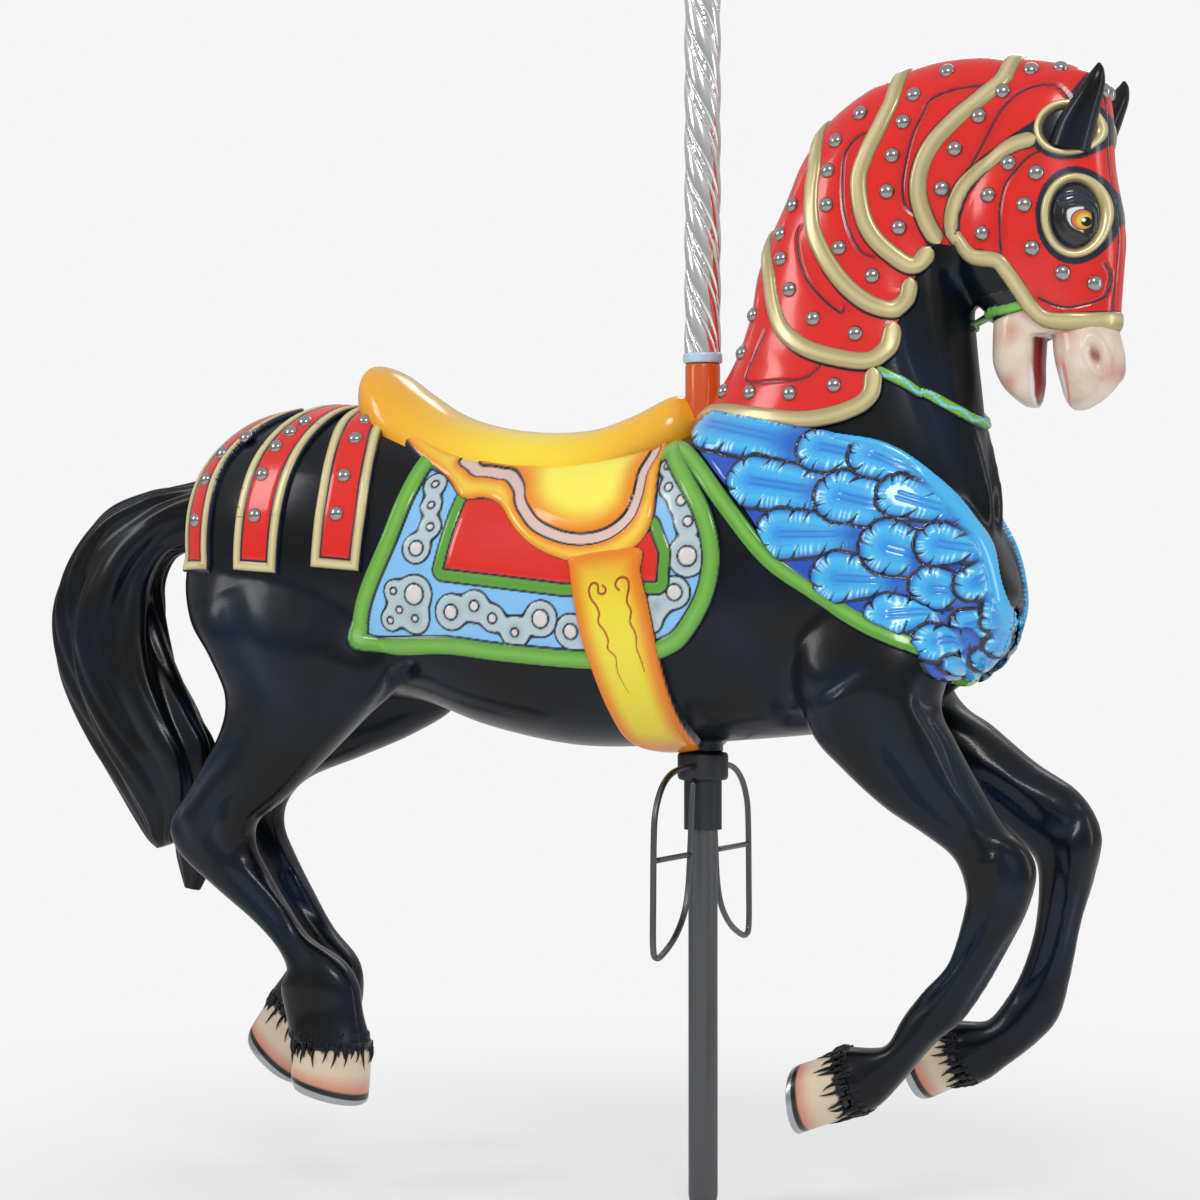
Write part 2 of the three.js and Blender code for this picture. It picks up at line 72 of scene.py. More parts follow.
def throughRows(rows, t):
    # Catmull-Rom curve through the rows of a table, read at t from 0 to len(rows) - 1
    rows = np.asarray(rows, float)
    i = np.clip(np.floor(t).astype(int), 0, len(rows) - 2)
    f = (t - i)[:, None]
    a, b, c, d = (rows[np.clip(i + k, 0, len(rows) - 1)] for k in (-1, 0, 1, 2))
    return b + 0.5 * f * (c - a + f * (2 * a - 5 * b + 4 * c - d + f * (3 * (b - c) + d - a)))


def evenly(points, count, closed=False):
    # the same curve, its points moved to equal steps of arc length
    points = np.asarray(points, float)
    if closed:
        points = np.vstack([points, points[:1]])
    steps = np.r_[0, np.cumsum(np.linalg.norm(np.diff(points, axis=0), axis=1))]
    at = np.linspace(0, steps[-1], count + 1 if closed else count)
    out = np.stack([np.interp(at, steps, column) for column in points.T], axis=1)
    return out[:-1] if closed else out


def curve(points, count, closed=False):
    # a smooth curve through a few points, in equal steps
    points = np.asarray(points, float)
    if closed:
        points = np.vstack([points[-2:], points, points[:3]])
        t = np.linspace(2, len(points) - 3, 20 * len(points))
        return evenly(throughRows(points, t)[:-1], count, True)
    return evenly(throughRows(points, np.linspace(0, len(points) - 1, 20 * len(points))), count)


def bulge(x, power):
    # x to a power with its sign kept: below 1 it fills an oval's corners
    return np.sign(x) * np.abs(x) ** power


def smooth(x, low, high):
    # 3t^2 - 2t^3, from 0 at low to 1 at high
    t = np.clip((x - low) / (high - low), 0, 1)
    return t * t * (3 - 2 * t)


def gridFaces(rows, columns, wrapped, first=0):
    # quads over a grid of points, numbered row by row, closed round its columns or not
    r = np.arange(rows - 1)[:, None]
    c = np.arange(columns if wrapped else columns - 1)[None, :]
    n = (c + 1) % columns
    a, b = r * columns + c, r * columns + n
    return np.stack([a, b, b + columns, a + columns], axis=-1).reshape(-1, 4) + first


def newObject(name, points, faces, smoothShaded=True, **attributes):
    # a mesh object at the origin from whole arrays of points in metres and of faces
    mesh = bpy.data.meshes.new(name)
    mesh.from_pydata(np.asarray(points, float).reshape(-1, 3).tolist(), [], faces)
    for key, values in attributes.items():
        layer = mesh.attributes.new(key, "FLOAT", "POINT")
        layer.data.foreach_set("value", np.asarray(values, np.float32).ravel())
    mesh.polygons.foreach_set("use_smooth", [smoothShaded] * len(mesh.polygons))
    mesh.update()
    obj = bpy.data.objects.new(name, mesh)
    bpy.context.scene.collection.objects.link(obj)
    return obj


def joined(name, patches, smoothShaded=True):
    # one object from several grids: each a dict of points (rows, columns, 3), wrapped, capped, values
    points, faces, values, first = [], [], {}, 0
    keys = {key for patch in patches for key in patch.get("values", {})}
    for patch in patches:
        grid = patch["points"]
        rows, columns = grid.shape[:2]
        quads = gridFaces(rows, columns, patch.get("wrapped", False), first)
        if patch.get("flip"):
            quads = quads[:, ::-1]
        faces += quads.tolist()
        points.append(grid.reshape(-1, 3))
        extra = 0
        if patch.get("capped"):
            for ring, end in ((0, -1), (rows - 1, 1)):
                points.append(grid[ring].mean(axis=0)[None])
                k = np.arange(columns)
                n = (k + 1) % columns
                tip = np.full(columns, first + rows * columns + extra)
                order = (k, tip, n) if (end > 0) == bool(patch.get("flip")) else (n, tip, k)
                faces += np.stack([order[0] + first + ring * columns, order[1],
                                   order[2] + first + ring * columns], 1).tolist()
                extra += 1
        for key in keys:
            given = np.broadcast_to(patch.get("values", {}).get(key, 0.0), (rows, columns)).ravel()
            values.setdefault(key, []).append(np.r_[given, np.full(extra, given[-1])])
        first += rows * columns + extra
    return newObject(name, np.vstack(points), faces, smoothShaded,
                     **{k: np.concatenate(v) for k, v in values.items()})


def baked(obj, *modifiers):
    # the object's mesh with these modifiers worked into it: each is (kind, settings)
    for kind, settings in modifiers:
        modifier = obj.modifiers.new(kind.title(), kind)
        for key, value in settings.items():
            setattr(modifier, key, value)
    old = obj.data
    shape = obj.evaluated_get(bpy.context.evaluated_depsgraph_get())
    obj.data = bpy.data.meshes.new_from_object(shape)
    obj.modifiers.clear()
    bpy.data.meshes.remove(old)
    obj.data.polygons.foreach_set("use_smooth", [True] * len(obj.data.polygons))
    return obj


def place(obj, material, slotName="painted_fibreglass", *nodes):
    # the piece takes its finish, rides on the one body and stands for its CAD nodes
    obj.data.materials.append(material)
    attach(obj, "root")
    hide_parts(*(nodes or ("horse",)))
    return obj


def loft(rows, along, around, fullness=0.9, ridges=None, grow=0.0):
    # A limb over cross-sections [frontX, frontZ, backX, backZ, halfWidth, middleY]: each is the oval
    # middle + reach cos^p(turn), y + width sin^p(turn) through its outline points, scaled by ridges(t, turn)
    t = np.linspace(0, len(rows) - 1, along)
    frontX, frontZ, backX, backZ, width, y = (v[:, None] for v in throughRows(rows, t).T)
    turn = np.linspace(0, 2 * math.pi, around, endpoint=False)[None, :]
    reach = np.hypot(frontX - backX, frontZ - backZ) / 2
    scale = ridges(t[:, None] / (len(rows) - 1), turn) if ridges else 1.0
    c = bulge(np.cos(turn), fullness) * scale * (1 + grow / reach)
    s = bulge(np.sin(turn), fullness) * scale
    grid = np.stack([
        (frontX + backX) / 2 + (frontX - backX) / 2 * c,
        y + (width + grow) * s,
        (frontZ + backZ) / 2 + (frontZ - backZ) / 2 * c,
    ], axis=-1)
    return grid * mm


def spindle(start, end, thick, flat=1.0, rows=14, around=12):
    # A muscle or tendon: its radius is thick * sqrt(sin(pi t)) along the line from start to end, and it is
    # flattened across the horse
    start, end = np.asarray(start, float), np.asarray(end, float)
    t = np.linspace(0.02, 0.98, rows)[:, None, None]
    turn = np.linspace(0, 2 * math.pi, around, endpoint=False)[None, :, None]
    along = (end - start) / np.linalg.norm(end - start)
    side = np.array([0, 1.0, 0])
    up = np.cross(along, side)
    up /= np.linalg.norm(up)
    side = np.cross(up, along)
    radius = thick * np.sqrt(np.sin(math.pi * t))
    return (start + (end - start) * t + radius * (up * np.cos(turn) + side * np.sin(turn) * flat)) * mm


# Cross-sections [frontX, frontZ, backX, backZ, halfWidth, middleY] in mm: the two points on the
# outline seen from the side, and the half width across the horse.
forms = {
    "torso": [
        [-818, 985, -814, 905, 42, 0], [-790, 1036, -782, 832, 92, 0], [-740, 1083, -733, 770, 134, 0],
        [-672, 1117, -665, 733, 158, 0], [-560, 1129, -545, 712, 168, 0], [-450, 1108, -425, 700, 164, 0],
        [-330, 1062, -315, 664, 160, 0], [-190, 1040, -185, 640, 164, 0], [-60, 1056, -60, 641, 166, 0],
        [45, 1100, 60, 650, 162, 0], [140, 1120, 180, 661, 152, 0], [235, 1110, 285, 676, 138, 0],
        [325, 1070, 365, 724, 118, 0], [392, 990, 424, 770, 92, 0], [430, 922, 446, 826, 56, 0],
        [439, 903, 452, 842, 40, 0], [443, 889, 454, 857, 19, 0],
    ],
    "neck": [
        [-20, 1075, 330, 760, 104, 0], [20, 1120, 408, 880, 110, 0], [55, 1172, 417, 985, 106, 0],
        [80, 1240, 410, 1080, 95, 0], [93, 1312, 402, 1160, 85, 0], [128, 1388, 396, 1222, 79, 0],
        [170, 1475, 392, 1265, 75, 0], [240, 1534, 405, 1300, 72, 0], [335, 1569, 430, 1320, 70, 0],
        [430, 1571, 470, 1340, 66, 0], [538, 1553, 530, 1390, 57, 0],
    ],
    "head": [
        [568, 1540, 440, 1530, 46, 0], [580, 1495, 400, 1475, 65, 0], [583, 1420, 368, 1400, 74, 0],
        [592, 1365, 360, 1340, 77, 0], [597, 1320, 363, 1290, 73, 0], [594, 1270, 388, 1246, 63, 0],
        [591, 1228, 418, 1216, 53, 0], [590, 1198, 424, 1192, 48, 0],
    ],
    "nose": [
        [583, 1222, 505, 1219, 38, 0], [592, 1188, 503, 1193, 48, 0], [597, 1160, 506, 1162, 53, 0],
        [590, 1133, 514, 1130, 47, 0], [572, 1112, 521, 1106, 35, 0], [550, 1098, 532, 1094, 17, 0],
    ],
    "jaw": [
        [500, 1225, 422, 1215, 43, 0], [497, 1192, 421, 1186, 45, 0], [495, 1160, 422, 1158, 44, 0],
        [496, 1132, 434, 1130, 38, 0], [491, 1113, 451, 1112, 29, 0], [482, 1100, 466, 1101, 13, 0],
    ],
    "hindLegNear": [
        [-500, 1000, -740, 1000, 45, -70], [-440, 890, -776, 900, 66, -90], [-415, 780, -764, 822, 80, -100],
        [-428, 724, -728, 768, 72, -105], [-478, 680, -702, 708, 61, -105], [-546, 617, -714, 652, 50, -105],
        [-612, 558, -762, 578, 43, -105], [-656, 525, -797, 522, 39, -105], [-660, 492, -783, 478, 36, -105],
        [-640, 455, -722, 428, 31, -105], [-608, 408, -658, 382, 27, -105], [-572, 362, -618, 346, 27, -105],
        [-516, 330, -600, 312, 32, -105], [-490, 296, -612, 292, 35, -105], [-482, 250, -604, 252, 34, -105],
        [-468, 204, -590, 206, 46, -105],
    ],
    "hindHoofNear": [
        [-470, 216, -586, 214, 40, -105], [-477, 138, -591, 166, 48, -105], [-484, 125, -586, 150, 48, -105],
    ],
    "hindLegFar": [
        [-500, 1000, -740, 1000, 45, 70], [-440, 890, -778, 900, 64, 90], [-420, 750, -785, 830, 80, 100],
        [-440, 690, -772, 768, 70, 105], [-510, 648, -768, 712, 58, 105], [-600, 612, -790, 655, 48, 105],
        [-685, 580, -832, 612, 41, 105], [-724, 545, -862, 562, 38, 105], [-732, 505, -850, 510, 35, 105],
        [-713, 462, -800, 455, 31, 105], [-684, 412, -742, 395, 27, 105], [-646, 352, -704, 342, 27, 105],
        [-602, 304, -702, 318, 32, 105], [-594, 258, -722, 286, 34, 105], [-606, 214, -738, 266, 34, 105],
        [-642, 180, -748, 252, 45, 105],
    ],
    "hindHoofFar": [
        [-646, 190, -740, 256, 40, 105], [-690, 122, -777, 202, 48, 105], [-702, 114, -783, 185, 48, 105],
    ],
    "foreLegNear": [
        [290, 980, 160, 980, 36, -66], [350, 880, 150, 880, 48, -76], [384, 770, 168, 755, 68, -92],
        [373, 702, 196, 668, 64, -98], [392, 660, 240, 618, 54, -98], [424, 604, 298, 568, 47, -98],
        [457, 552, 353, 534, 42, -98], [488, 520, 394, 503, 39, -98], [500, 480, 410, 462, 38, -98],
        [491, 438, 406, 428, 33, -98], [464, 385, 385, 365, 28, -98], [434, 332, 350, 326, 26, -98],
        [402, 288, 322, 290, 28, -98], [366, 258, 302, 254, 31, -98], [326, 210, 280, 248, 31, -98],
        [293, 174, 256, 248, 34, -98], [266, 156, 234, 248, 45, -98],
    ],
    "foreHoofNear": [
        [262, 160, 240, 242, 39, -98], [190, 132, 178, 220, 47, -98], [180, 128, 170, 212, 47, -98],
    ],
    "foreLegFar": [
        [280, 980, 160, 980, 36, 66], [316, 880, 155, 880, 48, 76], [320, 785, 190, 745, 66, 92],
        [334, 715, 248, 645, 61, 98], [388, 672, 324, 594, 53, 98], [450, 622, 385, 548, 45, 98],
        [511, 582, 430, 512, 40, 98], [541, 528, 452, 486, 38, 98], [532, 470, 455, 442, 35, 98],
        [513, 405, 448, 388, 28, 98], [499, 335, 428, 330, 26, 98], [482, 275, 402, 288, 29, 98],
        [448, 236, 382, 266, 31, 98], [408, 204, 362, 264, 31, 98], [382, 184, 346, 264, 34, 98],
        [358, 176, 330, 264, 44, 98],
    ],
    "foreHoofFar": [[356, 182, 336, 258, 38, 98], [304, 156, 268, 242, 46, 98], [290, 154, 262, 232, 46, 98]],
    "tail": [
        [-770, 1036, -780, 940, 24, 0], [-852, 1025, -846, 922, 34, 0], [-908, 1015, -872, 905, 42, 0],
        [-982, 985, -888, 872, 52, 0], [-1040, 914, -888, 838, 60, 0], [-1066, 830, -879, 790, 64, 0],
        [-1052, 735, -856, 738, 64, 0], [-1004, 638, -822, 680, 60, 0], [-952, 560, -794, 628, 52, 0],
        [-920, 512, -795, 560, 40, 0], [-902, 486, -835, 500, 26, 0], [-888, 473, -856, 484, 11, 0],
    ],
    "tailTip": [
        [-790, 590, -884, 590, 30, 18], [-796, 510, -876, 520, 26, 18], [-806, 450, -865, 462, 17, 18],
        [-826, 410, -852, 414, 8, 18],
    ],
    "seat": [
        [-522, 1180, -528, 1140, 32, 0], [-506, 1191, -515, 1098, 64, 0], [-474, 1180, -488, 1050, 86, 0],
        [-432, 1150, -448, 1012, 95, 0], [-379, 1118, -392, 988, 96, 0], [-314, 1097, -322, 975, 94, 0],
        [-235, 1086, -240, 970, 92, 0], [-157, 1088, -155, 975, 88, 0], [-96, 1106, -84, 992, 78, 0],
        [-42, 1131, -14, 1040, 56, 0], [-20, 1128, 0, 1084, 32, 0], [-10, 1118, 4, 1092, 16, 0],
    ],
    "ear": [
        [564, 1428, 508, 1440, 28, -50], [572, 1458, 524, 1474, 25, -55], [581, 1488, 549, 1505, 20, -62],
        [588, 1514, 565, 1525, 14, -67], [588, 1532, 575, 1536, 7, -70], [584, 1541, 580, 1542, 2, -70],
    ],
}


body = {
    "voxel": 6.22, "smoothing": 6,  # mm between points of the skin, and times that it is smoothed
    "sunk": 5,  # mm that the neck and head lie under their armour
    "muscles": [  # start, end, thickness, flatness across the horse; each on both sides
        ((300, -50, 1150), (395, -46, 880), 26, 0.8), ((350, -40, 1180), (425, -20, 930), 22, 0.8),
        ((240, -62, 1120), (330, -62, 860), 30, 0.8),
    ],
    "carving": [  # height, width and path (x, y, z) of each ridge; a groove's height is negative
        (-7, 26, [(-671, -154, 867), (-642, -167, 772), (-603, -164, 701)]),  # haunch
        (8, 28, [
            (-524, -167, 801), (-481, -161, 754), (-477, -142, 707), (-519, -139, 665), (-578, -143, 623),
        ]),
        (5, 30, [(-716, -154, 838), (-693, -158, 772), (-667, -154, 724)]),
        (-9, 13, [(-460, -112, 701), (-435, -115, 728), (-385, -129, 755)]),  # flank
        (-5, 14, [
            (-648, -152, 664), (-725, -138, 596), (-771, -127, 540), (-755, -136, 499), (-724, -135, 466),
        ]),  # gaskin and hock
        (-7, 10, [(-671, -148, 580), (-708, -144, 537), (-711, -140, 500), (-676, -133, 465)]),
        (7, 18, [(-692, -141, 537), (-669, -121, 500)]),
        (5, 9, [(-676, -133, 471), (-609, -118, 405), (-529, -118, 336)]),  # hind cannon
        (-5, 8, [(-704, -139, 470), (-626, -130, 394), (-554, -136, 320)]),
        (-5, 9, [(-659, 80, 518), (-712, 82, 429), (-644, 90, 348)]),
        (5, 9, [(-742, 85, 517), (-716, 85, 454), (-653, 90, 373)]),
        (-10, 14, [
            (167, -130, 765), (155, -103, 715), (160, -74, 681), (198, -98, 659),
        ]),  # shoulder and elbow
        (-8, 11, [(202, -131, 716), (245, -152, 724), (284, -159, 751)]),
        (7, 13, [(228, -147, 691), (251, -153, 709), (286, -159, 739)]),
        (6, 30, [(177, -135, 790), (239, -151, 724), (309, -155, 711)]),
        (-7, 14, [(284, -160, 722), (317, -152, 658), (365, -144, 586), (409, -139, 543)]),  # forearm
        (6, 15, [(317, -152, 736), (355, -143, 678), (378, -138, 620), (437, -132, 544)]),
        (-6, 9, [(350, -144, 712), (379, -122, 658), (411, -129, 596), (451, -129, 539)]),
        (6, 14, [(469, -122, 527), (493, -101, 500), (494, -105, 466)]),  # knee
        (-7, 9, [(456, -131, 520), (478, -128, 487), (467, -125, 433)]),
        (6, 14, [(448, -135, 510), (457, -134, 496)]),
        (6, 11, [(468, -129, 458), (440, -127, 403), (405, -125, 348), (370, -125, 298)]),  # fore cannon
        (-6, 9, [(446, -131, 438), (403, -122, 372), (347, -118, 308)]),
        (-5, 8, [(474, -106, 412), (435, -108, 343), (400, -110, 290)]),
        (-8, 12, [(361, -129, 741), (358, -130, 712), (372, -108, 692)]),
        (-6, 11, [(380, 60, 610), (425, 55, 575), (470, 60, 535)]),  # far foreleg
        (5, 12, [(374, 51, 632), (434, 59, 593), (479, 64, 568)]),
        (-6, 9, [(473, 58, 546), (504, 66, 538), (515, 85, 563)]),
        (5, 11, [(510, 66, 529), (507, 67, 468)]),
        (-6, 9, [(498, 62, 493), (494, 67, 437), (472, 72, 355), (435, 74, 303)]),
        (-5, 8, [(523, 74, 468), (503, 83, 386), (471, 75, 310)]),
        (-7, 14, [(314, -74, 1257), (322, -74, 1176), (357, -67, 1083), (388, -54, 1016)]),  # neck and throat
        (6, 16, [(347, -56, 1295), (354, -55, 1204), (388, -45, 1083)]),
        (-6, 10, [(365, -44, 1284), (386, -30, 1260)]),
    ],
    "mirroredAbove": 690,  # carving wholly above this height is cut on both sides
}


def skinOf(name, parts, voxel, passes):
    # overlapping lofts become one skin: filled with cubes, wrapped, then smoothed a few times
    obj = joined(name, [dict(points=p, wrapped=True, capped=True) for p in parts])
    return baked(
        obj,
        ("REMESH", dict(mode="VOXEL", voxel_size=voxel * mm, adaptivity=0)),
        ("SMOOTH", dict(factor=0.6, iterations=passes)),
    )


def bothSides(grids):
    # the grids and their mirror images across the horse
    flip = np.array([1, -1, 1])
    return grids + [(g * flip)[:, ::-1] for g in grids]


sunk = -body["sunk"]
parts = [
    loft(forms["torso"], 120, 64), loft(forms["neck"], 110, 56, grow=sunk),
    loft(forms["head"], 70, 48, grow=sunk),
]
for leg in ("hindLegNear", "hindLegFar", "foreLegNear", "foreLegFar"):
    parts.append(loft(forms[leg], 150, 36))
parts += bothSides([spindle(*m) for m in body["muscles"]])
horse = skinOf("horse_body", parts, body["voxel"], body["smoothing"])


def alongLine(points, path):
    # distance in mm from each point to a bent line, in the plane or in space, and the share of the line
    # passed there: t = (p - a).e / e.e on each of its pieces, held between 0 and 1
    best, share = np.full(points.shape[:-1], 1e9), np.zeros(points.shape[:-1])
    for i, (a, b) in enumerate(zip(path[:-1], path[1:])):
        e = b - a
        t = np.clip(((points - a) @ e) / (e @ e + 1e-9), 0, 1)
        away = ((points - a - t[..., None] * e) ** 2).sum(-1)
        share = np.where(away < best, (i + t) / (len(path) - 1), share)
        best = np.minimum(best, away)
    return np.sqrt(best), share


def awayFrom(points, path):
    # the distance of points from an open path, alone
    return alongLine(points, np.asarray(path, float))[0]


def meshArrays(obj):
    # points in mm and normals of a mesh object
    out = []
    for key, scale in (("co", mm), ("normal", 1.0)):
        flat = np.empty(len(obj.data.vertices) * 3, np.float32)
        obj.data.vertices.foreach_get(key, flat)
        out.append(flat.reshape(-1, 3).astype(float) / scale)
    return out


def moved(obj, points, **attributes):
    # new points in mm, and painted shares, for the same mesh
    obj.data.vertices.foreach_set("co", (points * mm).astype(np.float32).ravel())
    for key, values in attributes.items():
        obj.data.attributes.new(key, "FLOAT", "POINT").data.foreach_set("value", values.astype(np.float32))
    obj.data.update()


def carve(obj, strokes):
    # Each point moves along its normal by the sum of A exp(-(d / w)^2) over the strokes, fading at their
    # ends; the grooves keep a painted shade
    points, normal = meshArrays(obj)
    rise, shade = np.zeros(len(points)), np.zeros(len(points))
    for height, width, path in strokes:
        line = curve(path, 20)
        close = ((points > line.min(0) - 3 * width) & (points < line.max(0) + 3 * width)).all(1)
        away, share = alongLine(points[close], line)
        fade = np.sqrt(np.clip(np.sin(math.pi * np.clip(share, 0.02, 0.98)), 0, 1))
        rise[close] += height * np.exp(-(away / width) ** 2) * fade
        if height < 0:
            shade[close] = np.maximum(shade[close], np.exp(-(away / width / 1.9) ** 2) * fade)
    moved(obj, points + normal * rise[:, None], navy=shade)


mirrored = [(h, w, [(x, -y, z) for x, y, z in path]) for h, w, path in body["carving"]
            if min(p[2] for p in path) > body["mirroredAbove"]]
carve(horse, body["carving"] + mirrored)
print("body skin", len(horse.data.polygons))


def shrunk(points, target, **settings):
    # the points (n, 3) in metres moved onto the target by a Shrinkwrap modifier
    probe = newObject("probe", points, [])
    modifier = probe.modifiers.new("wrap", "SHRINKWRAP")
    modifier.target = target
    for key, value in settings.items():
        setattr(modifier, key, value)
    shape = probe.evaluated_get(bpy.context.evaluated_depsgraph_get())
    out = np.empty(len(points) * 3, np.float32)
    shape.data.vertices.foreach_get("co", out)
    bpy.data.objects.remove(probe)
    return out.reshape(-1, 3).astype(float)


def settled(points, target):
    # nearest points of the target's skin and its normals there, for any array of points in mm
    shape = points.shape
    flat = points.reshape(-1, 3) * mm
    on = shrunk(flat, target, wrap_method="NEAREST_SURFACEPOINT")
    above = shrunk(on, target, wrap_method="NEAREST_SURFACEPOINT", wrap_mode="ABOVE_SURFACE", offset=0.004)
    normal = above - on
    normal /= np.maximum(np.linalg.norm(normal, axis=1, keepdims=True), 1e-9)
    return (on / mm).reshape(shape), normal.reshape(shape)


class SideMap:
    # the skin seen from one side: y over a grid of x and z, read between its points
    def __init__(self, target, side, lowX, highX, lowZ, highZ, step):
        self.low, self.step = np.array([lowX, lowZ]), step
        x = np.arange(lowX, highX + step, step)
        z = np.arange(lowZ, highZ + step, step)
        gx, gz = np.meshgrid(x, z, indexing="ij")
        start = np.stack([gx, np.full_like(gx, side * 400.0), gz], -1).reshape(-1, 3) * mm
        hit = shrunk(
            start, target, wrap_method="PROJECT", use_project_x=False, use_project_y=True,
            use_project_z=False,
            use_positive_direction=side < 0, use_negative_direction=side > 0,
        )
        y = (hit[:, 1] / mm).reshape(gx.shape)
        missed = np.abs(y) > 399
        for _ in range(40):  # spread the rim outwards and towards the middle plane where nothing was hit
            if not missed.any():
                break
            padded = np.pad(np.where(missed, np.nan, y), 1, constant_values=np.nan)
            near = np.stack([padded[:-2, 1:-1], padded[2:, 1:-1], padded[1:-1, :-2], padded[1:-1, 2:]])
            known = np.isfinite(near)
            mean = np.where(known, near, 0).sum(0) / np.maximum(known.sum(0), 1)
            fill = missed & known.any(0)
            y = np.where(fill, mean * 0.93, y)
            missed = missed & ~fill
        self.y = np.where(missed, 0, y)
        self.side = side
        self.slopeX, self.slopeZ = np.gradient(self.y, step)

    def read(self, values, xz):
        # the value between the four nearest points of the grid, by shares of area
        at = (np.asarray(xz, float) - self.low) / self.step
        i = np.clip(np.floor(at).astype(int), 0, np.array(values.shape) - 2)
        f = np.clip(at - i, 0, 1)
        a, b = values[i[..., 0], i[..., 1]], values[i[..., 0] + 1, i[..., 1]]
        c, d = values[i[..., 0], i[..., 1] + 1], values[i[..., 0] + 1, i[..., 1] + 1]
        return (a * (1 - f[..., 0]) + b * f[..., 0]) * (1 - f[..., 1]) + (c * (1 - f[..., 0]) + d
                                                                          * f[..., 0]) * f[..., 1]

    def points(self, xz, height=0.0):
        # the skin's points at x and z, lifted along its normal by height mm
        xz = np.asarray(xz, float)
        normal = np.stack([-self.read(self.slopeX, xz), np.ones(xz.shape[:-1]), -self.read(self.slopeZ, xz)],
                          -1) * self.side
        normal /= np.linalg.norm(normal, axis=-1, keepdims=True)
        on = np.stack([xz[..., 0], self.read(self.y, xz), xz[..., 1]], -1)
        return on + normal * np.asarray(height)[..., None]


near = SideMap(horse, -1, -840, 620, 600, 1600, 2.5)
far = SideMap(horse, 1, -840, 620, 600, 1600, 2.5)
print("skin read from both sides")


def add(tree, kind, settings=None, **inputs):
    # a shader node with its settings, its inputs given as values or as links from other nodes
    node = tree.nodes.new("ShaderNode" + kind)
    for key, value in (settings or {}).items():
        setattr(node, key, value)
    for key, value in inputs.items():
        numbered = key[0] == "i" and key[1:].isdigit()
        socket = node.inputs[int(key[1:]) if numbered else key.replace("_", " ")]
        if isinstance(value, bpy.types.NodeSocket):
            tree.links.new(value, socket)
        else:
            socket.default_value = value
    return node


def grainBump(tree, strength, depth, size, detail):
    # a fine unevenness of the surface: noise of some size and depth in mm, turned into a normal
    where = add(tree, "TexCoord").outputs["Object"]
    soft = add(tree, "TexNoise", Vector=where, Scale=1000 / size, Detail=detail).outputs["Fac"]
    return add(tree, "Bump", Strength=strength, Distance=depth * mm, Height=soft).outputs["Normal"]


def enamel(name, base, masks=(), roughness=0.22, coat=0.4, gloss=0.4, metallic=0.0, metalMask=None,
           grain=0.0, grainSize=2.0, blotch=None):
    # Sprayed gloss enamel: the base colour in soft blotches, then each (painted share, colour) over it,
    # under a thin clear coat; its highlights are tight and its colours deep
    material = bpy.data.materials.new(name)
    material.use_nodes = True
    tree = material.node_tree
    shader = tree.nodes["Principled BSDF"]
    colour = toLinear(base)
    if blotch:  # (colour, size mm, share)
        where = add(tree, "TexCoord").outputs["Object"]
        soft = add(tree, "TexNoise", Vector=where, Scale=1000 / blotch[1], Detail=2.0).outputs["Fac"]
        soft = add(tree, "MapRange", Value=soft, From_Min=0.42,
                   From_Max=0.42 + 0.2 / blotch[2]).outputs["Result"]
        colour = add(tree, "Mix", {"data_type": "RGBA"}, i0=soft, i6=colour,
                     i7=toLinear(blotch[0])).outputs[2]
    for key, over in masks:
        share = add(tree, "Attribute", {"attribute_name": key}).outputs["Fac"]
        colour = add(tree, "Mix", {"data_type": "RGBA"}, i0=share, i6=colour, i7=toLinear(over)).outputs[2]
    if isinstance(colour, tuple):
        shader.inputs["Base Color"].default_value = colour
    else:
        tree.links.new(colour, shader.inputs["Base Color"])
    for key, value in (("Roughness", roughness), ("Metallic", metallic), ("Coat Weight", coat),
                       ("Specular IOR Level", gloss), ("Coat Roughness", 0.06)):
        shader.inputs[key].default_value = value
    if metalMask:
        share = add(tree, "Attribute", {"attribute_name": metalMask}).outputs["Fac"]
        tree.links.new(share, shader.inputs["Metallic"])
    if grain:
        bump = grainBump(tree, grain, 0.4, grainSize, 3.0)
        tree.links.new(bump, shader.inputs["Normal"])
        tree.links.new(bump, shader.inputs["Coat Normal"])
    return material


def steel(name, hexColour, roughness, grain):
    # bare or plated metal: its colour and roughness, and a fine grain that breaks up the highlights
    material = bpy.data.materials.new(name)
    material.use_nodes = True
    shader = material.node_tree.nodes["Principled BSDF"]
    shader.inputs["Base Color"].default_value = toLinear(hexColour)
    shader.inputs["Metallic"].default_value = 1
    shader.inputs["Roughness"].default_value = roughness
    bump = grainBump(material.node_tree, grain, 0.3, 3.0, 4.0)
    material.node_tree.links.new(bump, shader.inputs["Normal"])
    return material


# black gloss enamel: nearly black, with navy painted shade in the carved hollows, and soft streaks of light
# along the muscles
blackEnamel = enamel("black_gloss_enamel", "#06080a", [("navy", "#0e1b2e")], roughness=0.3, coat=0.25,
                     gloss=0.18, blotch=("#0c1729", 110, 0.6), grain=0.3, grainSize=2.2)
place(horse, blackEnamel)


def inside(xz, outline):
    # signed distance in mm from each point to a closed outline, positive inside: a point is inside when a
    # line drawn forwards from it crosses the outline an odd number of times
    closed = np.vstack([outline, outline[:1]])
    x, z = xz[..., 0], xz[..., 1]
    crossed = np.zeros(x.shape, bool)
    for (ax, az), (bx, bz) in zip(closed[:-1], closed[1:]):
        if az != bz:
            crossed ^= ((az > z) != (bz > z)) & (x < (bx - ax) * (z - az) / (bz - az) + ax)
    return awayFrom(xz, closed) * np.where(crossed, 1, -1)


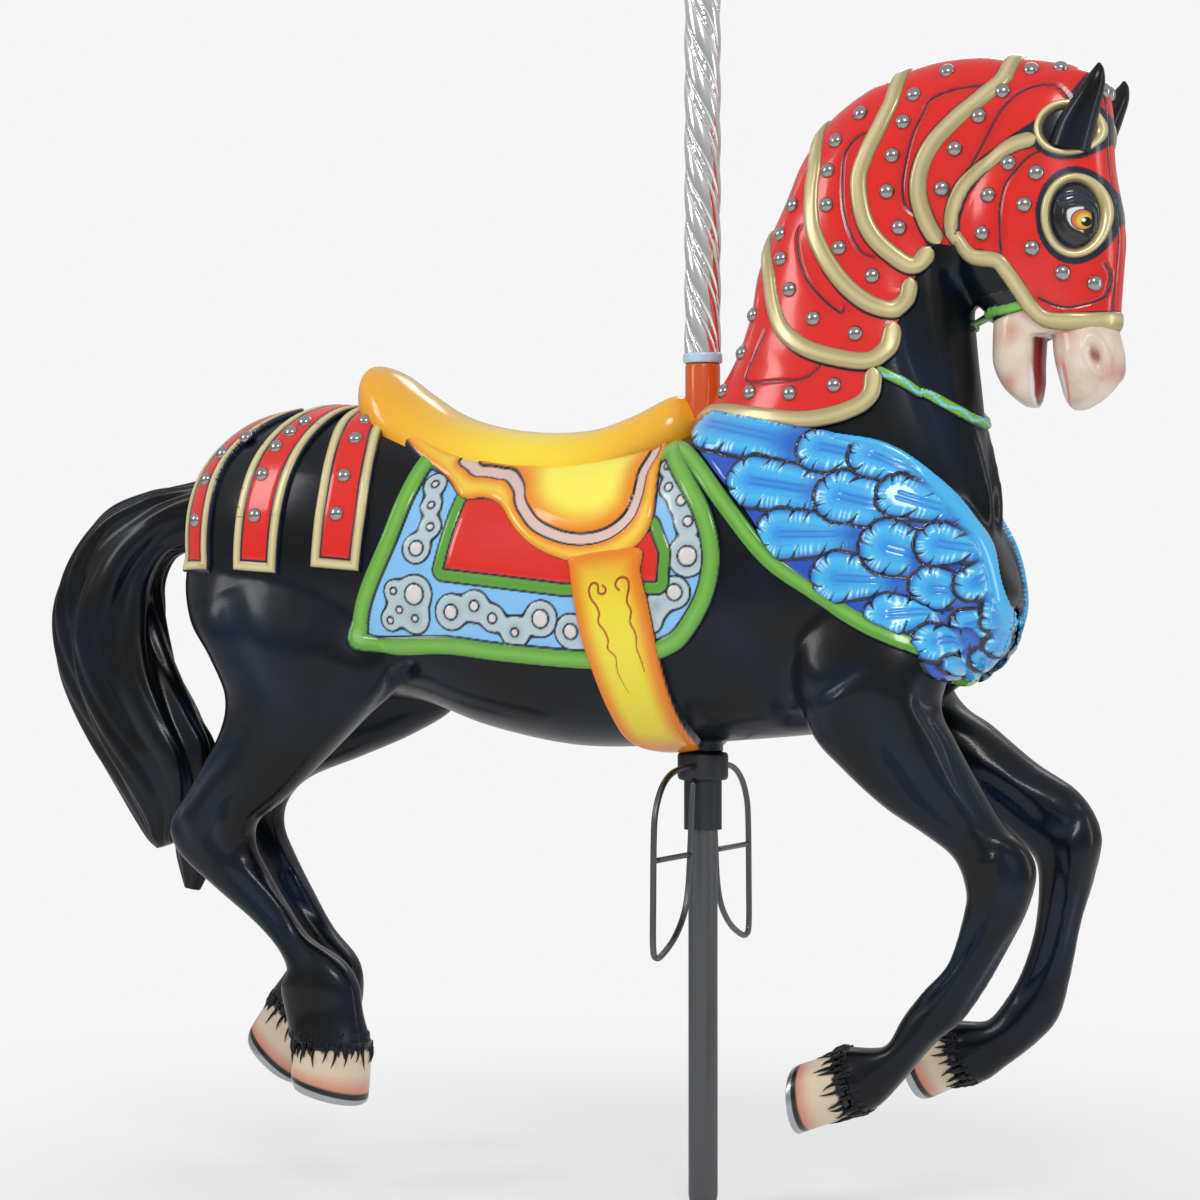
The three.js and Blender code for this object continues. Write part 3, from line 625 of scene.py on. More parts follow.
def rim(depth, height, curl):
    # height of a pad whose edge rises like a quarter round over curl mm from a little below the skin
    t = np.clip(depth / curl, -1, 1)
    rise = np.where(t > 0, np.sqrt(np.maximum(1 - (1 - t) ** 2, 0)), t)
    return np.where(depth > 0, height * rise, np.maximum(depth * 1.2, -3))


def line(distance, width):
    # 1 on a drawn line of some width in mm, fading over the last millimetre
    return 1 - smooth(np.abs(distance), width / 2 - 0.5, width / 2 + 0.5)


def fieldPanels(name, box, step, design):
    # The skin lifted over a grid of x and z: design(xz) gives the height and the painted shares.
    # Cells wholly under the skin are left out. One panel for each side of the horse.
    lowX, highX, lowZ, highZ = box
    x, z = np.arange(lowX, highX + step, step), np.arange(lowZ, highZ + step, step)
    xz = np.stack(np.meshgrid(x, z, indexing="ij"), -1)
    height, values = design(xz)
    cells = gridFaces(len(x), len(z), False)
    keep = height.ravel()[cells].max(axis=1) > -2.4
    cells = cells[keep]
    used, cells = np.unique(cells, return_inverse=True)
    cells = cells.reshape(-1, 4)
    points, faces, shares = [], [], {key: [] for key in values}
    for sideMap in (near, far):
        points.append(sideMap.points(xz.reshape(-1, 2)[used], height.ravel()[used]))
        turned = cells if sideMap.side < 0 else cells[:, ::-1]
        faces.append(turned + len(used) * (len(points) - 1))
        for key, value in values.items():
            shares[key].append(value.ravel()[used])
    obj = newObject(name, np.vstack(points) * mm, np.vstack(faces).tolist(), True,
                    **{k: np.concatenate(v) for k, v in shares.items()})
    print(name, len(obj.data.polygons) * 2)
    return obj


blanket = {
    "outline": [
        (-384, 1074), (-394, 1033), (-408, 980), (-424, 930), (-462, 849), (-476, 800), (-472, 780),
        (-455, 771), (-395, 769), (-321, 769), (-232, 759), (-104, 750), (-30, 757), (12, 768), (43, 788),
        (76, 836), (90, 885), (88, 925), (74, 966), (52, 1000), (20, 1040), (-4, 1062), (-60, 1036),
        (-190, 1022), (-330, 1042), (-376, 1070),
    ],
    "border": 27, "frame": 17, "line": 3.2, "height": 5.5, "borderHeight": 10,
    "panel": [(-302, 985), (-323, 888), (-134, 866), (0, 868), (2, 906), (-14, 940), (-120, 990)],
    "lobes": [  # pearl x, z and radius, then the radius of the ribbon round it, and the ribbon that it is on
        (-354, 1005, 3.5, 16, 0), (-352, 976, 3.5, 15, 0), (-348, 946, 4, 16, 0), (-366, 917, 9, 21, 0),
        (-368, 854, 13, 27, 1), (-400, 859, 3.5, 15, 1), (-392, 833, 3.5, 18, 1), (-408, 819, 3.5, 15, 1),
        (-368, 821, 3.5, 22, 1),
        (-311, 829, 9, 25, 2), (-274, 837, 6, 22, 2), (-246, 820, 5.5, 19, 2), (-212, 801, 4.5, 22, 2),
        (-172, 819, 11, 25, 2),
        (-127, 802, 9, 24, 3), (-100, 785, 0, 22, 3),
        (-14, 1047, 5, 15, 4), (-1, 1023, 4, 14, 4), (8, 994, 4.5, 15, 4), (30, 976, 6, 21, 4),
        (42, 948, 5.5, 20, 4),
        (43, 902, 12, 28, 4), (25, 854, 9.5, 22, 5), (0, 837, 0, 18, 5), (-10, 815, 0, 16, 5),
    ],
}


def blanketField(xz):
    # A pad with a rounded border and a framed panel; the ribbon's edge is where the soft sum of its circles,
    # 5 ln(sum exp((r - d) / 5)), is zero, and each pearl is a dome r sqrt(1 - (d / r)^2) * 0.28
    b = blanket
    edge = inside(xz, curve(b["outline"], 160, True))
    border = edge < b["border"]
    panel = inside(xz, b["panel"])
    frame = (panel <= 0) & (panel > -b["frame"])
    ribbons, pearls = np.full(edge.shape, -1e9), np.zeros(edge.shape)
    rings, gap = np.full(edge.shape, 1e9), np.full(edge.shape, 1e9)
    for kind in range(6):
        own = [lobe for lobe in b["lobes"] if lobe[4] == kind]
        soft = sum(np.exp((r - np.hypot(xz[..., 0] - x, xz[..., 1] - z)) / 5.0) for x, z, _, r, _ in own)
        ribbon = 5.0 * np.log(np.maximum(soft, 1e-9))
        ribbons = np.maximum(ribbons, ribbon)
        gap = np.minimum(gap, np.abs(ribbon))
    for x, z, radius, _, _ in b["lobes"]:
        if radius:
            away = np.hypot(xz[..., 0] - x, xz[..., 1] - z) - radius
            pearls = np.maximum(pearls, np.clip(1 - smooth(away, -0.5, 0.5), 0, 1))
            rings = np.minimum(rings, np.abs(away - 1.4))
    ground = (edge > b["border"]) & (panel < -b["frame"])
    ribbon = (ribbons > 0) & ground
    height = rim(edge, b["height"], 7)
    borderRise = np.minimum(edge, b["border"] - edge)
    rounded = np.sqrt(np.clip(1 - (1 - np.minimum(borderRise, 9) / 9) ** 2, 0, 1))
    height += np.where(borderRise > 0, (b["borderHeight"] - b["height"]) * rounded, 0)
    frameRise = np.minimum(-panel, b["frame"] + panel)
    height += np.where(frame & (edge > b["border"]), 2.5 * np.sqrt(np.clip(frameRise / 5, 0, 1)), 0)
    height += np.where(ribbon, 1.6 * np.sqrt(np.clip(ribbons / 6, 0, 1)), 0)
    height += np.where(panel > 0, 2.5 * np.sqrt(np.clip(panel / 8, 0, 1)), 0)
    for x, z, r, _, _ in b["lobes"]:
        if r:
            away = np.hypot(xz[..., 0] - x, xz[..., 1] - z)
            height += 0.28 * r * np.sqrt(np.clip(1 - (away / r) ** 2, 0, 1)) * ground
    width = b["line"]
    lines = np.maximum.reduce([
        line(edge, 2 * width), line(edge - b["border"], width), line(panel, width) * (edge > b["border"]),
        line(panel + b["frame"], width) * (edge > b["border"]), line(gap, width) * ground,
        line(rings, width * 0.9) * ground,
    ])
    return height, {
        "green": (border | (frame & (edge > b["border"]))).astype(float),
        "red": (panel > 0) * (edge > b["border"]) * 1.0,
        "ribbon": ribbon * 1.0, "pearl": pearls * ground, "line": lines,
        "shade": np.where(ribbon, smooth(ribbons, 4, 22), 0),
        # a painted highlight along the middle of the rounded green border
        "bright": np.clip(1 - np.abs(edge - b["border"] * 0.55) / 10, 0, 1) * border,
    }


blanketCloth = fieldPanels("saddle_blanket", (-484, 100, 742, 1092), 1.72, blanketField)
# blanket gloss enamel: flat bright fields inside dark drawn lines, a painted highlight along the middle of
# the rounded green border, the ribbon shaded towards its middle
place(blanketCloth, enamel(
    "blanket_gloss_enamel", "#86c3f4", [
        ("green", "#5c9f35"), ("bright", "#79b94c"), ("red", "#dd2416"), ("ribbon", "#b9ccd2"),
        ("shade", "#8fa5ad"),
        ("pearl", "#dcd6d4"), ("line", "#101b30"),
    ], roughness=0.25))


saddle = {
    "skirt": [
        (-470, 1110), (-438, 1083), (-395, 1047), (-341, 1011), (-322, 992), (-310, 982), (-295, 980),
        (-277, 981), (-262, 977), (-247, 968), (-219, 937), (-184, 912), (-139, 895), (-102, 890),
        (-57, 897), (-26, 915), (-9, 941), (-6, 969), (-10, 1015), (-18, 1058), (-60, 1040), (-190, 1024),
        (-330, 1044), (-400, 1074), (-440, 1096),
    ],
    "trim": [
        (-330, 1040), (-312, 1018), (-297, 1010), (-281, 1009), (-266, 1006), (-250, 1003), (-232, 988),
        (-226, 975), (-215, 960), (-188, 936), (-146, 920), (-106, 916), (-69, 924), (-41, 944), (-29, 968),
        (-27, 1004), (-40, 1060), (-250, 1090),
    ],
    "trimWidth": 15, "line": 3.0, "height": 14,
    "fender": [
        (-125, 905), (-129, 880), (-114, 800), (-99, 740), (-88, 690), (-82, 664), (-68, 648), (-40, 641),
        (-6, 643), (14, 652), (10, 690), (2, 760), (-8, 830), (-20, 880), (-26, 915),
    ],
    "scrolls": [
        [
            (-75, 863), (-70, 858), (-73, 852), (-81, 853), (-82, 864), (-90, 866), (-95, 857), (-92, 846),
            (-84, 836), (-80, 826), (-82, 815), (-73, 803), (-69, 792), (-70, 780), (-60, 770), (-60, 752),
            (-49, 724),
        ],
        [
            (-51, 857), (-56, 862), (-54, 870), (-46, 874), (-38, 870), (-37, 858), (-40, 843), (-34, 830),
            (-36, 815), (-29, 800), (-29, 782), (-25, 768), (-22, 752),
        ],
    ],
}


def skirtField(xz):
    # a pad rising as a quarter round over 12 mm, a sunk trim inside it and a raised middle
    s = saddle
    edge, trim = inside(xz, curve(s["skirt"], 160, True)), inside(xz, curve(s["trim"], 160, True))
    pad = trim - s["trimWidth"]
    height = rim(edge, s["height"], 12) + np.where(pad > 0, 4 * np.sqrt(np.clip(pad / 14, 0, 1)), 0)
    height += np.where((trim > 0) & (pad < 0), -1.5, 0)
    width = s["line"]
    lines = np.maximum.reduce([line(edge, 2 * width), line(trim, width), line(pad, width)])
    glow = np.where(pad > 0, smooth(pad, 2, 40), 0.55 * smooth(np.minimum(edge, -trim), 1, 14))
    return height, {"glow": glow, "trim": ((trim > 0) & (pad < 0)) * 1.0, "line": lines}


def fenderField(xz):
    # a strap rising as a quarter round over 9 mm, with two painted scrolls that taper downwards
    s = saddle
    edge = inside(xz, curve(s["fender"], 120, True))
    height = rim(edge, 15, 9)
    scrolls = np.minimum.reduce([awayFrom(xz, curve(points, 60)) for points in s["scrolls"]])
    taper = np.interp(xz[..., 1], [720, 800, 880], [0.6, 2.6, 3.2])
    return height, {
        "glow": smooth(edge, 6, 34) * smooth(np.abs(xz[..., 1] - 760), 200, 60), "line": line(edge, 4.5),
        "scroll": line(scrolls, taper),
    }


# saddle gloss enamel: orange at the edges, airbrushed to yellow in the middle
saddlePaint = enamel("saddle_gloss_enamel", "#ee8c12",
                     [("glow", "#fff45a"), ("trim", "#e0c2b8"), ("line", "#101b30")], roughness=0.22)
skirt = fieldPanels("saddle_skirt", (-474, 0, 880, 1112), 1.5, skirtField)
place(skirt, saddlePaint)
fender = fieldPanels("saddle_fenders", (-134, 20, 636, 920), 1.4, fenderField)
place(fender, enamel("fender_gloss_enamel", "#e8821a",
                     [("glow", "#f0df3a"), ("scroll", "#a32a14"), ("line", "#101b30")], roughness=0.22))

seatGrid = loft(forms["seat"], 90, 96)
seatTop = seatGrid[..., 2].max(axis=1, keepdims=True)
fromTop = seatGrid[..., 2] - seatTop
seat = joined("saddle_seat", [dict(points=seatGrid, wrapped=True, capped=True, values={
    "glow": 0.95 * smooth(fromTop, -0.11, -0.05)
    * (0.25 + 0.75 * np.exp(-((seatGrid[..., 0] + 0.24) / 0.16) ** 2)),
    "deep": 1 - smooth(fromTop, -0.125, -0.085),
})])
# seat enamel: airbrushed from yellow on top to deep orange at the sides
place(seat, enamel("seat_gloss_enamel", "#f08c16", [("glow", "#ffe23c"), ("deep", "#dc6a10")], roughness=0.2))
print("saddle done")


pole = {
    "radius": 20.5, "top": 1850, "foot": [(0, 0), (15, 0), (18.5, 5), (20.5, 16)],
    "twist": {"radius": 25.8, "groove": 3.6, "starts": 4, "pitch": 280, "foot": 1191.3, "broad": 0.62,
              "valley": 0.68, "band": 2.0},
    "ring": [
        (21, 1177), (26, 1177), (27.2, 1178.5), (27.5, 1181), (27.5, 1187), (27.2, 1189.5), (26, 1191),
        (21, 1191),
    ],
    "pommel": [(24.5, 1030), (24.5, 1172), (23.5, 1176.5), (21, 1176.7)],
    "boss": [(21, 633.2), (27, 633.2), (28.5, 635), (28.5, 700)],
    "clamp": [
        (21, 525), (26.5, 525), (26.5, 594), (31, 594), (33.5, 595), (35.3, 598), (35.5, 600), (35.5, 627),
        (35, 630), (33, 632), (30.5, 632.7), (21, 632.7),
    ],
    "rest": {"rod": 4.3, "out": 183, "corner": 362, "bar": 493},
}


def lathe(profile, around=72):
    # a profile of (radius, height) in mm turned about the pole's axis: r cos(turn), r sin(turn), z
    profile = np.asarray(profile, float)
    turn = np.linspace(0, 2 * math.pi, around, endpoint=False)
    r, z = profile[:, 0][:, None], profile[:, 1][:, None]
    return np.stack([r * np.cos(turn), r * np.sin(turn), np.broadcast_to(z, (len(profile), around))], -1) * mm


def latheObject(name, profile, material, slotName, node, capped=False):
    # a turned profile as one finished object
    obj = joined(name, [dict(points=lathe(profile), wrapped=True, capped=capped)])
    return place(obj, material, slotName, node)


def sharpened(obj, degrees=40):
    # corners of turned and cut metal stay crisp
    obj.data.polygons.foreach_set("use_smooth", [True] * len(obj.data.polygons))
    obj.data.set_sharp_from_angle(angle=math.radians(degrees))
    return obj


# mill finish steel looks grey and dull, cast iron rougher and darker, and chrome plate mirrors the studio
darkSteel = steel("mill_finish_steel_tube", "#66686b", 0.45, grain=0.5)
castIron = steel("blackened_cast_clamp", "#46484b", 0.5, grain=0.8)
brightChrome = steel("bright_chrome_plate", "#f7f7f7", 0.14, grain=0.06)
ringPaint = enamel("pale_ring_enamel", "#b9d9ea", roughness=0.25, blotch=("#a5cbe0", 14, 0.6))
# pommel enamel: deep orange, with painted light that makes one side of the sleeve lighter orange
pommelPaint = enamel("pommel_gloss_enamel", "#d35417", [("lift", "#f08c2e")], roughness=0.25)

shaft = pole["foot"] + [(pole["radius"], z) for z in (500, 1000, pole["top"])]
sharpened(latheObject("steel_pole", shaft, darkSteel, "pole_steel", "pole", True))
sharpened(latheObject("ring_on_pole", pole["ring"] + [pole["ring"][0]], ringPaint, "ring_enamel",
                      "pole_ring"))
sharpened(latheObject("cast_pole_clamp", pole["clamp"] + [pole["clamp"][0]], castIron, "clamp_steel",
                      "pole_clamp"))
# painted light: lighter orange on one side of the sleeve, 0.3 + 0.4 sin(turn)
lift = 0.3 + 0.4 * np.sin(np.linspace(0, 2 * math.pi, 72))[None, :]
pommel = joined("pommel_sleeve", [dict(points=lathe(pole["pommel"]), wrapped=True, values={"lift": lift})])
place(pommel, pommelPaint)
boss = joined("belly_boss", [dict(points=lathe(pole["boss"]), wrapped=True)])
place(boss, blackEnamel)

# The twisted sleeve: over each of its starts the radius is a broad ridge, R - 1.6 (s / broad)^2, a thin
# valley g deep and a narrow hammered band; s runs from -1 to 1 and the section turns with height.
twist = pole["twist"]
rows, around = 460, 144
z = np.linspace(twist["foot"], pole["top"], rows)[:, None]
turn = np.linspace(0, 2 * math.pi, around, endpoint=False)[None, :]
s = np.abs(np.mod(twist["starts"] * (turn / (2 * math.pi) + z / twist["pitch"]), 1) * 2 - 1)
hammered = smooth(s, 0.72, 0.76)
valley = np.exp(-((s - twist["valley"]) / 0.05) ** 2)
dents = rng.normal(size=(rows, around))
dents = sum(np.roll(dents, (i, j), (0, 1)) for i in range(-3, 4) for j in range(-2, 3)) / 5
ridge = twist["radius"] - 1.6 * (np.minimum(s, twist["broad"]) / twist["broad"]) ** 2
band = twist["radius"] - twist["band"] + 0.16 * dents * hammered
radius = np.where(s > twist["valley"], band, ridge) - twist["groove"] * valley
radius = np.minimum(radius, twist["radius"])
outer = np.stack([radius * np.cos(turn), radius * np.sin(turn), np.broadcast_to(z, radius.shape)], -1) * mm
inner = lathe([(21, pole["top"]), (21, twist["foot"])], around)
ends = np.concatenate([outer, inner, outer[:1]])
sleeve = joined("twisted_chrome_sleeve", [dict(points=ends, wrapped=True)])
sharpened(sleeve, 60)
place(sleeve, brightChrome, "bright_sleeve", "twisted_sleeve")


def tube(path, radius, around=14):
    # a rod of some radius swept along a path of points in mm, its section kept square to the path
    path = np.asarray(path, float)
    ahead = np.gradient(path, axis=0)
    ahead /= np.linalg.norm(ahead, axis=1, keepdims=True)
    side = np.tile([1.0, 0, 0], (len(path), 1))
    side -= ahead * (side * ahead).sum(1, keepdims=True)
    side /= np.linalg.norm(side, axis=1, keepdims=True)
    over = np.cross(ahead, side)
    turn = np.linspace(0, 2 * math.pi, around, endpoint=False)[None, :, None]
    radius = np.broadcast_to(radius, len(path))[:, None, None]
    return (path[:, None] + radius * (side[:, None] * np.cos(turn) + over[:, None] * np.sin(turn))) * mm


rest = pole["rest"]
loopPath = curve([
    (0, 35.8, 614), (0, 80, 613), (0, 122, 606), (0, 154, 588), (0, 175, 558), (0, 181, 520),
    (0, rest["out"], 440),
    (0, rest["out"], rest["corner"] + 14), (0, rest["out"] - 12, rest["corner"]), (0, 146, 366),
    (0, 105, 384), (0, 72, 412),
    (0, 56, 446), (0, 48, 500), (0, 42, 560), (0, 36, 593.5),
], 150)
barPath = curve([(0, 50, rest["bar"]), (0, 115, rest["bar"]), (0, rest["out"] - 1, rest["bar"])], 8)
# bent steel rod, drawn smooth: a thin line of light along it
rodSteel = steel("bent_steel_rod", "#66686b", 0.35, grain=0.4)
for name, side in (("left", 1), ("right", -1)):
    flip = np.array([1, side, 1])
    grids = [tube(loopPath * flip, rest["rod"]), tube(barPath * flip, rest["rod"] * 0.9)]
    loop = joined("foot_rest_" + name + "_rod", [dict(points=g, wrapped=True, capped=True) for g in grids])
    place(loop, rodSteel, "rod_steel", "foot_rest_" + name)
print("pole and fittings done")


def tailLocks(t, turn):
    # locks flow down the tail: grooves |sin(3.5 turn + drift(t))|^3 and finer ones between them
    drift = 1.6 * np.sin(2.6 * t + 0.4) + 0.7 * np.sin(7 * t)
    broad = 1 - np.abs(np.sin(3.5 * turn + drift * 1.4)) ** 3
    fine = np.abs(np.sin(8 * turn + 2.2 * np.sin(2 * turn + 3 * t) + 5 * t))
    return 1 - 0.16 * (1 - broad) * smooth(t, 0, 0.15) - 0.05 * (1 - fine) + 0.03


tailGrid = loft(forms["tail"], 240, 168, ridges=tailLocks)
tipGrid = loft(forms["tailTip"], 90, 60, ridges=tailLocks)
tail = joined("horse_tail", [dict(points=tailGrid, wrapped=True, capped=True),
                             dict(points=tipGrid, wrapped=True, capped=True)])
place(tail, blackEnamel)

earGrid = loft(forms["ear"], 60, 28)
ears = joined("horse_ears", [dict(points=g, wrapped=True, capped=True) for g in bothSides([earGrid])])
place(ears, blackEnamel)

muzzle = {
    # black above this line, then the blushed spots: x, z and radius
    "flesh": [(404, 1213), (440, 1222), (478, 1233), (486, 1227), (506, 1211), (620, 1211)],
    "blush": [(532, 1194, 15), (455, 1200, 14), (452, 1134, 12), (592, 1140, 14), (478, 1226, 9)],
    "nostril": (571, 1163, 7.5, 15, 0.25), "dent": 9,
}
muzzleParts = [loft(forms["nose"], 60, 48), loft(forms["jaw"], 60, 48),
               loft(forms["head"][5:], 30, 48, grow=-3.4)]
muzzleParts += bothSides([spindle((562, -34, 1186), (578, -34, 1132), 20, 0.8)])
muzzleSkin = skinOf("horse_muzzle", muzzleParts, 2.0, 10)
points, normal = meshArrays(muzzleSkin)
x, z = points[:, 0], points[:, 2]
fleshLine = np.interp(x, *np.array(muzzle["flesh"]).T)
atX, atZ, wide, tall, lean = muzzle["nostril"]
u, v = (x - atX) + lean * (z - atZ), z - atZ
away = np.hypot(u / wide, v / tall)
side = smooth(np.abs(points[:, 1]), 22, 34)
dent = np.exp(-away ** 2 * 1.3) * side
rise = -muzzle["dent"] * dent + 3.2 * np.exp(-((away - 1.75) / 0.45) ** 2) * side
onJaw, onNose = (x < 503) & (z < 1192), (x > 497) & (z < 1200)
inner = smooth(normal[:, 0], 0.5, 0.75) * onJaw * smooth(x, 478, 488)
rise -= 6 * inner * smooth(-np.abs(points[:, 1]), -40, -20)
teeth = np.where(onJaw, smooth(normal[:, 0], 0.22, 0.34) * (1 - smooth(normal[:, 0], 0.6, 0.72))
                 * (1 - smooth(z, 1145, 1168)) * smooth(x, 474, 482), 0)
teeth = np.maximum(teeth, np.where(onNose, smooth(-normal[:, 0], 0.62, 0.7) * (1 - smooth(z, 1140, 1162)), 0))
gums = np.where(onNose, 0.8 * smooth(-normal[:, 0], 0.46, 0.54) * (1 - smooth(z, 1148, 1172)),
                0.7 * smooth(normal[:, 0], 0.12, 0.22) * onJaw * (1 - smooth(z, 1148, 1174))
                * smooth(x, 474, 480))
spots = [np.exp(-((x - cx) ** 2 + (z - cz) ** 2) / r ** 2) for cx, cz, r in muzzle["blush"]]
moved(
    muzzleSkin, points + normal * rise[:, None], blush=0.75 * np.maximum.reduce(spots),
    dent=np.clip(1.1 * dent, 0, 1), gums=gums, mouth=inner, teeth=teeth,
    line=line(z - fleshLine + 1.5, 4), black=smooth(z - fleshLine, -0.6, 0.6),
)
# flesh enamel: cream, blushed by airbrush round the nostrils and lips
place(muzzleSkin, enamel("muzzle_gloss_enamel", "#e6d6c6", [
    ("blush", "#cf8673"), ("dent", "#9c6a5a"), ("gums", "#e07a72"), ("mouth", "#8e1717"),
    ("teeth", "#e6e5ea"), ("line", "#101b30"),
    ("black", "#080b0f")], roughness=0.3, blotch=("#cdb49c", 40, 0.5)))
print("muzzle", len(muzzleSkin.data.polygons))

hoof = {
    "shoe": 9.5, "black": 17, "glow": 42,  # heights above the ground in mm where each band ends
    "hairs": 22, "hairSpan": (0.86, 0.2),  # hairs in a ring, and the shares of the hoof's height they span
    "hairLength": (14, 32), "tuftLength": (12, 19),
}


def resampled(grid, count):
    # the rows of a grid moved to equal steps along its middle line, and their distance in mm from the last
    middle = grid.mean(axis=1)
    steps = np.r_[0, np.cumsum(np.linalg.norm(np.diff(middle, axis=0), axis=1))]
    at = np.linspace(0, steps[-1], count)
    flat = np.stack([np.interp(at, steps, column) for column in grid.reshape(len(grid), -1).T], 1)
    return flat.reshape(count, grid.shape[1], 3), (steps[-1] - at) / mm


def strands(rootRing, tipRing, outward, count, radius, lengths):
    # Curved hairs lying down a limb: each runs from a root on one ring towards the same turn of the next,
    # its radius falling as (1 - s)^0.8, bent to one side by a square of s
    grids = []
    turns = (np.arange(count) + rng.uniform(-0.3, 0.3, count)) / count * len(rootRing)
    for turn in turns:
        i, f = int(turn) % len(rootRing), turn % 1
        j = (i + 1) % len(rootRing)
        root = rootRing[i] * (1 - f) + rootRing[j] * f
        down = tipRing[i] * (1 - f) + tipRing[j] * f - root
        down /= np.linalg.norm(down)
        out = outward[i] * (1 - f) + outward[j] * f
        out -= down * (out @ down)
        out /= np.linalg.norm(out)
        aside = np.cross(down, out)
        s = np.linspace(-0.25, 1, 10)[:, None]
        reach, bend = rng.uniform(*lengths), rng.uniform(-0.32, 0.32)
        path = root + reach * (down * s + aside * bend * s ** 2)
        path += out * (0.6 + 1.6 * np.sin(math.pi * np.clip(s, 0, 1)))
        thick = radius * np.clip(1 - np.maximum(s[:, 0], 0), 0.02, 1) ** 0.8 * rng.uniform(0.8, 1.15)
        grids.append(tube(path, thick, 8))
    return grids


hoofPatches, hairs = [], []
for key, legKey in (("hindHoofNear", "hindLegNear"), ("hindHoofFar", "hindLegFar"),
                    ("foreHoofNear", "foreLegNear"), ("foreHoofFar", "foreLegFar")):
    grid, fromGround = resampled(loft(forms[key], 60, 64, fullness=0.95), 90)
    sole, ground = grid[-1].mean(axis=0), grid[-1:]
    inward = (grid[-20].mean(axis=0) - sole) / np.linalg.norm(grid[-20].mean(axis=0) - sole)
    grid = np.concatenate([grid, sole + (ground - sole) * 0.97, sole + (ground - sole) * 0.8,
                           sole + (ground - sole) * 0.76 + inward * 4 * mm])
    up = np.r_[fromGround, 0, 0, hoof["black"] - 3][:, None]
    hoofPatches.append(dict(points=grid, wrapped=True, capped=True, values={
        "pink": 0.75 * (1 - smooth(up, hoof["black"], hoof["glow"])),
        "band": 1 - smooth(up, hoof["black"] - 1.5, hoof["black"] + 2.5),
        "shoe": 1 - smooth(up, hoof["shoe"] - 0.6, hoof["shoe"] + 0.6),
        "crown": smooth(up + 2.5 * np.sin(np.linspace(0, 34 * math.pi, grid.shape[1])), fromGround[0] - 13,
                        fromGround[0] - 10)}))
    ring = grid / mm
    outward = ring - ring.mean(axis=1, keepdims=True)
    root, tip = (int(np.argmin(np.abs(fromGround - share * fromGround[0]))) for share in hoof["hairSpan"])
    hairs += strands(ring[root], ring[tip], outward[root], hoof["hairs"], 2.7, hoof["hairLength"])
    leg = loft(forms[legKey], 150, 64) / mm
    legOut = leg - leg.mean(axis=1, keepdims=True)
    for back, radius in ((3, 4.6), (6, 4.2)):  # rows above the hoof and the hairs' radius there
        hairs += strands(leg[-back] - 3.0 * legOut[-back] / 40, ring[tip], legOut[-back], hoof["hairs"],
                         radius, hoof["tuftLength"])
hooves = joined("horse_hooves", hoofPatches)
sharpened(hooves, 50)
# hoof enamel: cream fading to pink above a black line, and a shoe in silver paint
place(hooves, enamel(
    "hoof_gloss_enamel", "#dccab0", [("pink", "#cf6f5c"), ("band", "#101216"), ("crown", "#0a0c10"),
                                     ("shoe", "#b4b7bb")], roughness=0.28, metalMask="shoe"))
fetlocks = joined("fetlock_hair", [dict(points=g, wrapped=True, capped=True) for g in hairs])
place(fetlocks, blackEnamel)
print("hooves and hair", len(fetlocks.data.polygons))
print("tail, ears, muzzle and hooves done")


def across(points):
    # near-side points (x, y, z) from the lower end up to the crest, then mirrored down the far side
    points = np.asarray(points, float)
    mirror = points[::-1] * (1, -1, 1)
    return np.vstack([points, mirror[1:] if abs(points[-1][1]) < 0.5 else mirror])


def ribbonGrid(path, count, width, profile, columns=15, ends=True):
    # a profile, the height over s from -1 to 1 across it, carried along a path that lies on the skin; its
    # ends are rounded: half width * sqrt(1 - (1 - d / half width)^2)
    on, normal = settled(curve(path, count), horse)
    ahead = np.gradient(on, axis=0)
    ahead /= np.linalg.norm(ahead, axis=1, keepdims=True)
    side = np.cross(ahead, normal)
    side /= np.linalg.norm(side, axis=1, keepdims=True)
    along = np.r_[0, np.cumsum(np.linalg.norm(np.diff(on, axis=0), axis=1))]
    half = np.broadcast_to(width, count) / 2
    if ends:
        fromEnd = np.minimum(along, along[-1] - along)
        half = half * np.sqrt(np.clip(1 - np.clip(1 - fromEnd / half, 0, 1) ** 2, 0.002, 1))
    s = np.sin(np.linspace(-math.pi / 2, math.pi / 2, columns))[None, :]
    points = on[:, None] + side[:, None] * (half[:, None] * s)[..., None]
    on, normal = settled(points, horse)
    height = profile(s, along[:, None], half[:, None])
    return on, normal, height, s * half[:, None], along[:, None] + 0 * s, half[:, None] + 0 * s


